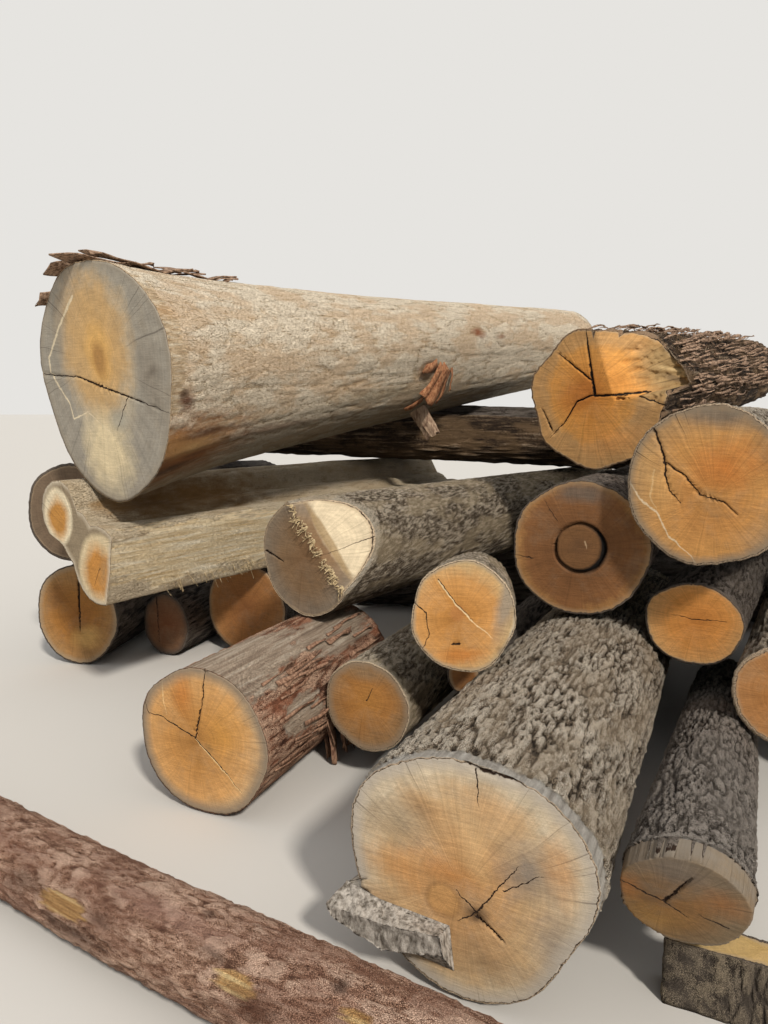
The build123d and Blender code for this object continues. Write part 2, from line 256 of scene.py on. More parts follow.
# how far back the face lies at a spot, with its saw marks, torn wood and wide cracks
def faceBack(stem, look, x, y, rimDepth, atRim):
    inside = meshing["inside"]
    s = faceDepth(stem, x * inside, y * inside)
    if look.get("slots"):  # a narrow slot in the face is made by the cracks below
        step = meshing["slotWide"]
        around = [faceDepth(stem, x * inside + dx, y * inside + dy)
                  for dx, dy in ((step, 0), (-step, 0), (0, step), (0, -step))]
        s = min([deep for deep in around + [s] if deep is not None], default=None)
        at, lean, rise = look["slots"]
        lean = math.radians(lean)
        out = x * math.cos(lean) + y * math.sin(lean) - at
        s = min(s, max(0.0, out) * rise) if s else s
    s = rimDepth if s is None or s < 0 or atRim else s
    if not atRim:
        s += meshing["sawDeep"] * (0.5 + 0.5 * noise.noise(Vector((x * 9, y * 50, 3))))
    for roughX, roughY, wide, high, lean, deep in look.get("rough", []):
        u, w = math.cos(math.radians(lean)), math.sin(math.radians(lean))
        dx, dy = x - roughX, y - roughY
        reach = math.hypot((dx * u + dy * w) / wide, (dy * u - dx * w) / high)
        reach += 0.2 * noise.noise(Vector((x * 22, y * 22, 1)))
        torn = 0.5 + 0.5 * noise.noise(Vector((x * 14, y * 40, 5)))
        torn += 0.4 * noise.noise(Vector((x * 50, y * 90, 9)))
        s += deep * torn * (1 - smooth(0.7, 1.0, reach))
    for crack in look.get("cracks", []):
        if crack[1] > meshing["wideCrack"]:
            off, width = crackAt(crack, x, y)
            half = width * 0.5 + meshing["crackSoft"]
            s += meshing["crackDeep"] * max(0.0, 1 - off / half)
    return s


# the finished mesh of a stem: rows from the pith of the face to its rim, along the side, and
# over the far end; "rim" is the distance to the face's edge, "bare" where the bark has gone
def buildStem(name, stem, look):
    turns, sideRows, faceRows = look["mesh"]
    farRows, length = meshing["farRows"], stem["length"]
    limit = look.get("limit", meshing["noLimit"])
    band, crease = look.get("band", 0.0), look.get("crease")
    measured = [measureTurn(stem, look, 2 * math.pi * k / turns) for k in range(turns)]
    rowCount = faceRows + sideRows + farRows
    bm = bmesh.new()
    bmesh.ops.create_grid(bm, x_segments=turns, y_segments=rowCount, size=0.5)
    ridge, rim, bare = [bm.verts.layers.float.new(layer) for layer in ("ridge", "rim", "bare")]
    for v in bm.verts:
        here = measured[round((v.co.x + 0.5) * turns) % turns]
        row = round((v.co.y + 0.5) * rowCount)
        a, depth = here["turn"], here["depth"]
        c, d = math.cos(a), math.sin(a)
        if row <= faceRows:
            height = barkHeight(look, c * here["radius"], d * here["radius"], depth)
            height = 1 - (1 - height) * look["ragged"]
            edge = here["radius"] - look["deep"] * (1 - height) + swellAt(look, c, d, 0.0)
            r = edge * (row / faceRows) ** 0.9
            x, y = c * r, d * r
            if crease and row < faceRows:
                x, y = ontoCrease(crease, x, y, edge / faceRows * 0.55)
            s = faceBack(stem, look, x, y, depth, row == faceRows)
            v[ridge] = height
            v[rim] = edge - r
            v.co = stem["origin"] + stem["along"] * s + stem["right"] * x + stem["up"] * y
            continue
        if row <= faceRows + sideRows:
            f = (row - faceRows) / sideRows
            s = depth + (length - depth) * f ** look["bunch"]
            wood = False
            if band:  # two rows stand on the bark's edge
                share = (here["barkEdge"] - depth) / (length - depth)
                last = faceRows + max(1, int(sideRows * share ** (1 / look["bunch"])))
                s = here["barkEdge"] if row in (last, last + 1) else s
                wood = row <= last
            place = s
            for lumpS, lumpTurn, halfLong, halfTurn in look.get("lumps", []):
                off = (math.degrees(a) - lumpTurn + 180) % 360 - 180
                if abs(s - lumpS) < halfLong and abs(off) < halfTurn:
                    place = lumpS + halfLong
            found = skinRadius(stem, min(place, length - meshing["rimStep"]) + 0.001, a)
            found = min(found or here["radius"], limit)
            if band and s < here["behind"]:
                found = here["near"] + here["slope"] * (s - here["behind"])
                found = min(found, limit) - (band if wood else 0.0)
        else:
            f = 1 - (row - faceRows - sideRows) / farRows
            s, found = length, here["farRadius"]
        height = barkHeight(look, c * found, d * found, s)
        swell = swellAt(look, c, d, s)
        if row <= faceRows + sideRows:
            near = smooth(0.0, meshing["raggedFade"], s - depth)
            height = 1 - (1 - height) * (look["ragged"] + (1 - look["ragged"]) * near)
            share = bareShare(look, s, math.degrees(a))
            if wood:
                share, height = 1.0, 1 - (1 - height) * meshing["woodRelief"]
            else:
                wornHeight = meshing["bareHeight"] + meshing["woodRelief"] * height
                height = height * (1 - share) + wornHeight * share
            v[bare] = share
            r = found - look["deep"] * (1 - height) + swell
            v[rim] = -s
        else:
            edge = found - look["deep"] * (1 - height) * look["ragged"] + swell
            r = f * edge
            v[rim] = edge - r
        v[ridge] = height
        v.co = stem["origin"] + stem["along"] * s + (stem["right"] * c + stem["up"] * d) * r
    for f in bm.faces:
        s = (f.calc_center_median() - stem["origin"]).dot(stem["along"])
        farCap = abs(f.normal.dot(stem["along"])) > 0.75 and s > length - endSlice
        f.material_index = 1 if min(v[rim] for v in f.verts) > -0.0005 or farCap else 0
        f.smooth = not (crease and f.material_index == 1 and s < length / 2)
    bmesh.ops.remove_doubles(bm, verts=bm.verts, dist=meshing["merge"])
    bmesh.ops.recalc_face_normals(bm, faces=bm.faces)
    return finishMesh(bm, name)


def finishMesh(bm, name):
    mesh = bpy.data.meshes.new(name)
    bm.to_mesh(mesh)
    bm.free()
    piece = bpy.data.objects.new(name, mesh)
    bpy.context.scene.collection.objects.link(piece)
    return piece


# materials: a colour as text is set as a tone, a socket is linked, anything else is a constant
def put(tree, kind, props=None, ins=()):
    node = tree.nodes.new("ShaderNode" + kind)
    for key, value in (props or {}).items():
        setattr(node, key, value)
    for key, value in dict(ins).items():
        if isinstance(value, bpy.types.NodeSocket):
            tree.links.new(value, node.inputs[key])
        else:
            node.inputs[key].default_value = tone(value) if isinstance(value, str) else value
    return node


def maths(tree, operation, a, b=None, c=None, clamp=False):
    ins = {k: v for k, v in enumerate((a, b, c)) if v is not None}
    return put(tree, "Math", {"operation": operation, "use_clamp": clamp}, ins).outputs[0]


def blend(tree, factor, a, b, how="MIX"):
    props = {"data_type": "RGBA", "blend_type": how, "clamp_factor": True}
    return put(tree, "Mix", props, {0: factor, 6: a, 7: b}).outputs[2]


def ramp(tree, factor, stops):
    node = put(tree, "ValToRGB", None, {0: factor})
    while len(node.color_ramp.elements) < len(stops):
        node.color_ramp.elements.new(0.5)
    for element, (place, colour) in zip(node.color_ramp.elements, stops):
        element.position = place
        element.color = tone(colour) if isinstance(colour, str) else (colour, colour, colour, 1.0)
    return node.outputs[0]


def speckle(tree, coords, scale, detail=4.0, rough=0.55, stretch=None):
    if stretch:
        coords = put(tree, "Mapping", None, {"Vector": coords, "Scale": stretch}).outputs[0]
    ins = {"Vector": coords, "Scale": scale, "Detail": detail, "Roughness": rough}
    return put(tree, "TexNoise", None, ins).outputs["Fac"]


# the noise's swing about a middle, by default 1 to brighten and darken with
def sway(tree, value, strength, middle=1.0):
    return maths(tree, "MULTIPLY_ADD", maths(tree, "SUBTRACT", value, 0.5), strength, middle)


# a colour laid over another where the mask is, up to a share
def stain(tree, colour, mask, share, over):
    return blend(tree, maths(tree, "MULTIPLY", mask, share), colour, over)


def vectors(tree, operation, *ins):
    return put(tree, "VectorMath", {"operation": operation}, dict(enumerate(ins)))


def attribute(tree, name):
    return put(tree, "Attribute", {"attribute_name": name}).outputs["Fac"]


def grey(tree, level):
    return put(tree, "CombineColor", None, {0: level, 1: level, 2: level}).outputs[0]


def stemCoords(tree, stem):
    turn = Matrix((stem["right"], stem["up"], -stem["along"])).transposed()
    where = put(tree, "TexCoord").outputs["Object"]
    ins = {"Vector": where, "Location": stem["origin"], "Rotation": turn.to_euler()}
    return put(tree, "Mapping", {"vector_type": "TEXTURE"}, ins).outputs[0]


# an oval patch with an uneven edge, 1 inside and 0 outside; z runs back along the stem
def patchMask(tree, coords, place, size, turn, soft, blot):
    ins = {"Vector": coords, "Location": place, "Rotation": (0, 0, math.radians(turn)), "Scale": size}
    local = put(tree, "Mapping", {"vector_type": "TEXTURE"}, ins).outputs[0]
    reach = vectors(tree, "LENGTH", local).outputs["Value"]
    reach = sway(tree, blot, soft * 1.4, reach)
    return maths(tree, "DIVIDE", maths(tree, "SUBTRACT", 1.0, reach), soft, clamp=True)


def newMaterial(name):
    material = bpy.data.materials.new(name)
    material.use_nodes = True
    tree = material.node_tree
    tree.nodes.clear()
    shader = put(tree, "BsdfPrincipled")
    out = put(tree, "OutputMaterial")
    tree.links.new(shader.outputs[0], out.inputs[0])
    return material, tree, shader


def finishMaterial(material, tree, shader, colour, height, strength, deep, roughness=0.92, gloss=0.2):
    tree.links.new(colour, shader.inputs["Base Color"])
    shader.inputs["Roughness"].default_value = roughness
    shader.inputs["Specular IOR Level"].default_value = gloss
    bump = put(tree, "Bump", None, {"Height": height, "Strength": strength, "Distance": deep})
    tree.links.new(bump.outputs[0], shader.inputs["Normal"])
    return material


# sizes of the noises in the bark, as cells a metre across, across and along the stem
barkGrain = {
    "patch": (7, 7, 3),
    "blot": (24, 24, 10),
    "fine": (280, 280, 130),
    "streak": (60, 60, 3.0),
    "bend": 22.0,
    "usualRidge": 0.7,  # the height about which the relief swings
    "softMark": 0.8,
    "shadeBelow": 0.75,
}


def barkMaterial(name, stem, look):
    material, tree, shader = newMaterial(name)
    coords = stemCoords(tree, stem)
    ridge, bare = attribute(tree, "ridge"), attribute(tree, "bare")
    fibre = speckle(tree, coords, 1.0, 6, 0.65, look["stretch"])
    patch = speckle(tree, coords, 1.0, 5, 0.6, barkGrain["patch"])
    fine = speckle(tree, coords, 1.0, 4, 0.7, barkGrain["fine"])
    bent = put(tree, "TexNoise", None, {"Vector": coords, "Scale": barkGrain["bend"], "Detail": 2.0})
    bent = vectors(tree, "MULTIPLY_ADD", bent.outputs["Color"], (look["fineWide"],) * 3, coords).outputs[0]
    size = (1 / look["fineWide"], 1 / look["fineWide"], 1 / look["fineLong"])
    bent = put(tree, "Mapping", None, {"Vector": bent, "Scale": size}).outputs[0]
    cells = put(tree, "TexVoronoi", {"feature": "DISTANCE_TO_EDGE"}, {"Vector": bent}).outputs["Distance"]
    crevice = ramp(tree, cells, [(0.0, 0.0), (look["crevice"], 1.0)])
    high = barkGrain["usualRidge"]
    relief = maths(tree, "MULTIPLY_ADD", maths(tree, "SUBTRACT", ridge, high), look["reliefShare"], high)
    lift = sway(tree, fibre, look["fibre"], relief)
    lift = maths(tree, "MULTIPLY_ADD", maths(tree, "SUBTRACT", crevice, 1.0), look["creviceShare"], lift)
    stops = [(0.10, look["furrowTone"]), (0.34, look["middleTone"]), (0.62, look["ridgeTone"])]
    colour = ramp(tree, lift, stops)
    patch = ramp(tree, patch, [(0.47, 0.0), (0.56, 1.0)])
    colour = stain(tree, colour, patch, look["patchShare"], look["patchTone"])
    blot = speckle(tree, coords, 1.0, 4, 0.6, barkGrain["blot"])
    streak = speckle(tree, coords, 1.0, 5, 0.6, barkGrain["streak"])
    wood = ramp(tree, streak, [(0.3, look["bareDark"]), (0.5, look["bareTone"]), (0.68, look["barePale"])])
    colour = blend(tree, bare, colour, wood)
    for s, turn, long, wide, colourHere, share in look.get("marks", []):
        a = math.radians(turn)
        r = skinRadius(stem, max(s, 0.02), a) or stem["radius"]
        spot = (math.cos(a) * r, math.sin(a) * r, -s)
        mask = patchMask(tree, coords, spot, (wide, wide, long), 0, barkGrain["softMark"], blot)
        colour = stain(tree, colour, mask, share, colourHere)
    level = maths(tree, "MULTIPLY", sway(tree, fine, 0.7), sway(tree, blot, 0.35))
    colour = blend(tree, 1.0, colour, grey(tree, level), "MULTIPLY")
    # painted shade: bark whose normal looks down is darkened towards the down-shade tone
    if look.get("downShadeTone"):  # sides that look down are darker
        normal = put(tree, "NewGeometry").outputs["Normal"]
        down = put(tree, "SeparateXYZ", None, {0: normal}).outputs["Z"]
        low = maths(tree, "MULTIPLY_ADD", down, -1.1, -0.15, True)
        colour = stain(tree, colour, low, barkGrain["shadeBelow"], look["downShadeTone"])
    height = maths(tree, "MULTIPLY_ADD", crevice, 0.9, maths(tree, "MULTIPLY", fibre, 0.9))
    height = maths(tree, "MULTIPLY_ADD", fine, 0.35, height)
    return finishMaterial(material, tree, shader, colour, height, 1.0, look["bumpDeep"])


# a drying crack as a mask, narrowing towards its end; the wobble lets its edges stray
def crackMask(tree, coords, crack, wobble):
    mask = None
    path, width = crack[:2]
    count = len(path) - 1
    for k in range(count):
        (x0, y0), (x1, y1) = path[k], path[k + 1]
        span = math.hypot(x1 - x0, y1 - y0)
        turn = (0, 0, math.atan2(y1 - y0, x1 - x0))
        ins = {"Vector": coords, "Location": (x0, y0, 0), "Rotation": turn}
        local = put(tree, "Mapping", {"vector_type": "TEXTURE"}, ins).outputs[0]
        split = put(tree, "SeparateXYZ", None, {0: local})
        t = maths(tree, "DIVIDE", split.outputs["X"], span)
        beyond = maths(tree, "ABSOLUTE", maths(tree, "SUBTRACT", t, 0.5))
        beyond = maths(tree, "SUBTRACT", beyond, 0.5)
        beyond = maths(tree, "MULTIPLY", maths(tree, "MAXIMUM", beyond, 0.0), span)
        off = maths(tree, "ABSOLUTE", maths(tree, "ADD", split.outputs["Y"], wobble))
        off = maths(tree, "ADD", off, beyond)
        left = maths(tree, "DIVIDE", maths(tree, "ADD", t, float(k)), -float(count), clamp=False)
        taper = maths(tree, "POWER", maths(tree, "MAXIMUM", maths(tree, "ADD", left, 1.0), 0.02), 0.5)
        half = maths(tree, "MULTIPLY_ADD", taper, width * 0.5, 0.0004)
        edge = maths(tree, "SUBTRACT", 1.15, maths(tree, "DIVIDE", off, half))
        edge = maths(tree, "MULTIPLY", edge, 2.0, clamp=True)
        mask = edge if mask is None else maths(tree, "MAXIMUM", mask, edge)
    return mask


# sizes of the noises in a sawn face, as cells a metre
faceGrain = {
    "warp": 4.0,
    "warpBy": 0.05,  # how far the year rings stray
    "weather": 6.0,
    "blot": 9.0,
    "clouds": 14.0,
    "rays": 26.0,
    "wobble": 26.0,
    "wobbleBy": 0.024,
    "checks": 60.0,
    "rings": 95.0,
    "fine": 240.0,
    "saw": (5, 110, 1),
    "creaseShare": 0.8,
}


def faceMaterial(name, stem, look):
    material, tree, shader = newMaterial(name)
    coords = stemCoords(tree, stem)
    face = look["face"]
    warp = put(tree, "TexNoise", None, {"Vector": coords, "Scale": faceGrain["warp"], "Detail": 2.0})
    bend = faceGrain["warpBy"]
    pith = (face["pith"][0] + bend / 2, face["pith"][1] + bend / 2, 0)
    flat = vectors(tree, "MULTIPLY_ADD", warp.outputs["Color"], (bend, bend, 0.0), coords).outputs[0]
    flat = vectors(tree, "SUBTRACT", flat, pith).outputs[0]
    flat = vectors(tree, "MULTIPLY", flat, (1, face.get("oval", 1.0), 0)).outputs[0]
    r = vectors(tree, "LENGTH", flat).outputs["Value"]
    zone = maths(tree, "DIVIDE", r, face["radius"])
    blot = speckle(tree, coords, faceGrain["blot"], 5, 0.65)
    zone = sway(tree, blot, 0.5, zone)
    colour = ramp(tree, zone, face["zones"])
    weather = speckle(tree, coords, faceGrain["weather"], 6, 0.7)
    weather = ramp(tree, weather, [(0.5, 0.0), (0.66, 1.0)])
    colour = stain(tree, colour, weather, face["weather"], face["weatherTone"])
    for x, y, wide, high, turn, colourHere, share, soft in face.get("marks", []):
        mask = patchMask(tree, coords, (x, y, 0), (wide, high, 2.0), turn, soft, blot)
        colour = stain(tree, colour, mask, share, colourHere)
    wobble = speckle(tree, coords, faceGrain["wobble"], 4, 0.65)
    stray = faceGrain["wobbleBy"]
    wobble = maths(tree, "MULTIPLY_ADD", wobble, stray, -stray / 2)
    for crease in face.get("creases", []):
        mask = crackMask(tree, coords, crease, wobble)
        colour = stain(tree, colour, mask, faceGrain["creaseShare"], crease[2])
    uneven = maths(tree, "MULTIPLY", blot, 0.02)
    ringPlace = put(tree, "CombineXYZ", None, {0: r, 1: uneven}).outputs[0]
    ringWave = speckle(tree, ringPlace, faceGrain["rings"], 3, 0.6)
    unit = vectors(tree, "NORMALIZE", flat).outputs[0]
    rays = speckle(tree, unit, faceGrain["rays"], 4, 0.7)
    saw = speckle(tree, coords, 1.0, 4, 0.65, faceGrain["saw"])
    fine = speckle(tree, coords, faceGrain["fine"], 3, 0.7)
    level = sway(tree, rays, face.get("rayStrength", 0.7))
    clouds = speckle(tree, coords, faceGrain["clouds"], 5, 0.7)
    for value, share in ((saw, face.get("sawStrength", 0.5)), (fine, 0.5), (ringWave, 0.5), (clouds, 0.75)):
        level = maths(tree, "MULTIPLY", level, sway(tree, value, share))
    colour = blend(tree, 1.0, colour, grey(tree, level), "MULTIPLY")
    rim = attribute(tree, "rim")
    ragged = sway(tree, blot, 0.035, rim)
    edgeBand = maths(tree, "SUBTRACT", 1.3, maths(tree, "DIVIDE", ragged, face["sapWidth"]), clamp=True)
    sap = blend(tree, rays, face["sapTone"], face.get("sapDark", face["sapTone"]))
    colour = stain(tree, colour, edgeBand, face["sapShare"], sap)
    checks = speckle(tree, unit, faceGrain["checks"], 2, 0.5)
    checks = ramp(tree, checks, [(0.66, 0.0), (0.69, 1.0)])
    outer = maths(tree, "MULTIPLY_ADD", zone, 2.6, -1.7, True)  # only the outer third
    checks = maths(tree, "MULTIPLY", checks, outer)
    colour = stain(tree, colour, checks, face.get("checks", 0.45), face["crackTone"])
    thin = sway(tree, blot, 0.012, rim)
    barkRing = maths(tree, "LESS_THAN", thin, face["barkWidth"])
    barkMix = ramp(tree, fine, [(0.35, 0.0), (0.6, 1.0)])
    barkTone = blend(tree, barkMix, look["furrowTone"], look["middleTone"])
    colour = blend(tree, barkRing, colour, barkTone)
    # painted shade: a broken dark line in the gap between wood and bark
    gapShade = maths(tree, "ABSOLUTE", maths(tree, "SUBTRACT", thin, face["barkWidth"]))
    gapShade = maths(tree, "LESS_THAN", gapShade, maths(tree, "MULTIPLY_ADD", rays, 0.006, -0.0022))
    mask = gapShade
    for crack in look.get("cracks", []):
        mask = maths(tree, "MAXIMUM", mask, crackMask(tree, coords, crack, wobble))
    colour = blend(tree, mask, colour, face["crackTone"])
    height = maths(tree, "MULTIPLY_ADD", ringWave, 0.3, maths(tree, "MULTIPLY", saw, 0.9))
    height = maths(tree, "MULTIPLY_ADD", fine, 0.3, height)
    height = maths(tree, "MULTIPLY_ADD", rays, 0.5, height)
    height = maths(tree, "MULTIPLY_ADD", mask, -3.0, height)
    return finishMaterial(material, tree, shader, colour, height, 0.6, 0.003, 0.85, 0.25)


# plain shreds, splinters and torn wood
def shredMaterial(name, dark, pale, stretch=(60, 60, 60)):
    material, tree, shader = newMaterial(name)
    where = put(tree, "TexCoord").outputs["Object"]
    coarse = speckle(tree, where, 1.0, 5, 0.65, stretch)
    fine = speckle(tree, where, 300.0, 3, 0.7)
    colour = ramp(tree, coarse, [(0.36, dark), (0.62, pale)])
    level = sway(tree, fine, 0.7)
    colour = blend(tree, 1.0, colour, grey(tree, level), "MULTIPLY")
    height = maths(tree, "ADD", coarse, maths(tree, "MULTIPLY", fine, 0.4))
    return finishMaterial(material, tree, shader, colour, height, 0.6, 0.005)


# kinds of bark

# each kind's under tone is the colour of the painted shade on its down-facing sides
thickBark = {"wide": 0.024, "long": 0.16, "gap": 0.17, "warp": 0.8, "crumb": 0.3, "plates": 0.3,
    "grain": 0.2, "deep": 0.017, "swell": 0.006, "ragged": 0.35, "bunch": 1.5, "bare": [],
    "stretch": (150, 150, 36), "fibre": 1.1, "fineWide": 0.009, "fineLong": 0.034, "crevice": 0.2,
    "creviceShare": 0.6, "bumpDeep": 0.009, "reliefShare": 1.0, "furrowTone": "32281f",
    "middleTone": "bca589", "ridgeTone": "f0e3ce", "patchTone": "c3ad90", "patchShare": 0.45,
    "downShadeTone": "4a4138", "bareDark": "6d665e", "bareTone": "a8a097", "barePale": "cbc4ba"}
paleBark = dict(thickBark, wide=0.07, long=0.42, gap=0.1, warp=0.9, crumb=0.2, plates=0.25, grain=0.2,
    deep=0.007, swell=0.014, stretch=(110, 110, 7), fibre=0.9, fineWide=0.015, fineLong=0.17,
    crevice=0.085, creviceShare=0.55, bumpDeep=0.006, reliefShare=0.5, furrowTone="75604a",
    middleTone="c7ae8b", ridgeTone="ecdcc2", patchTone="cfab82", patchShare=0.5, downShadeTone="4e4a38",
    bareDark="6b3d20", bareTone="a96f42", barePale="cf9f6e")
grainyBark = dict(thickBark, wide=0.026, long=0.05, gap=0.2, crumb=0.3, plates=0.4, grain=0.25,
    deep=0.006, swell=0.008, stretch=(150, 150, 70), fineWide=0.008, fineLong=0.013, crevice=0.24,
    creviceShare=0.55, bumpDeep=0.006, reliefShare=0.9, furrowTone="564838", middleTone="cab496",
    ridgeTone="f0e3cd", patchTone="d0b995", patchShare=0.5)
darkBark = dict(thickBark, wide=0.034, long=0.11, deep=0.013, furrowTone="2b241f", middleTone="6b5f53",
    ridgeTone="a3968a", patchTone="7c7063", downShadeTone="332d26")
shaggyBark = dict(thickBark, wide=0.028, long=0.26, gap=0.4, warp=1.1, crumb=0.5, plates=0.6, grain=0.2,
    deep=0.022, stretch=(140, 140, 16), fibre=1.0, fineWide=0.011, fineLong=0.11, bumpDeep=0.012,
    furrowTone="3a2c20", middleTone="94785c", ridgeTone="c9b092", patchTone="a3835f", patchShare=0.5,
    downShadeTone="2e251c")
flakyBark = dict(thickBark, wide=0.042, long=0.085, gap=0.14, warp=1.2, crumb=0.4, plates=0.7, grain=0.25,
    deep=0.011, swell=0.014, stretch=(70, 70, 30), fibre=1.0, fineWide=0.014, fineLong=0.026,
    crevice=0.14, creviceShare=0.4, bumpDeep=0.009, reliefShare=0.75, furrowTone="5c3c2d",
    middleTone="b38a70", ridgeTone="dcb89f", patchTone="8e6450", patchShare=0.55, downShadeTone="4c362c",
    bareDark="8f6239", bareTone="c99d66", barePale="ebcb93")
peeledBark = dict(thickBark, wide=0.045, long=0.4, gap=0.16, crumb=0.3, plates=0.5, deep=0.01,
    swell=0.006, stretch=(110, 110, 9), fibre=0.9, fineWide=0.014, fineLong=0.12, crevice=0.1,
    bumpDeep=0.007, furrowTone="47291c", middleTone="9c7157", ridgeTone="cba68a", patchTone="a86a4c",
    patchShare=0.55, downShadeTone="54412f", bareDark="84705e", bareTone="b09b85", barePale="d0c0ab")

# kinds of sawn end

orangeFace = {"zones": [(0.0, "a56a32"), (0.35, "ba7f3f"), (0.7, "c69050"), (1.0, "c09c6b")],
    "weatherTone": "a58a69", "sapTone": "bfa785", "sapDark": "8e7c66", "sapWidth": 0.02, "sapShare": 0.8,
    "barkWidth": 0.007, "crackTone": "2a1b10", "pith": (0.0, 0.0), "weather": 0.3}
goldFace = dict(orangeFace, zones=[(0.0, "9d6a30"), (0.4, "bb8642"), (0.75, "cb9a58"), (1.0, "c4a477")])
paleFace = dict(orangeFace, zones=[(0.0, "b07a45"), (0.35, "bd8f5e"), (0.7, "b89b76"), (1.0, "b3a48f")],
    weatherTone="a08f7b", weather=0.5)
brownFace = dict(orangeFace, zones=[(0.0, "7a4e2a"), (0.4, "8c5d33"), (0.8, "98693d"), (1.0, "a07d58")],
    weatherTone="7d6a55")

# where the notched log's two saw cuts meet
ridgeCut = {
    "at": 0.109,  # how far out from the pith
    "lean": 41,
    "half": 0.235,
    "fibres": 170,
}

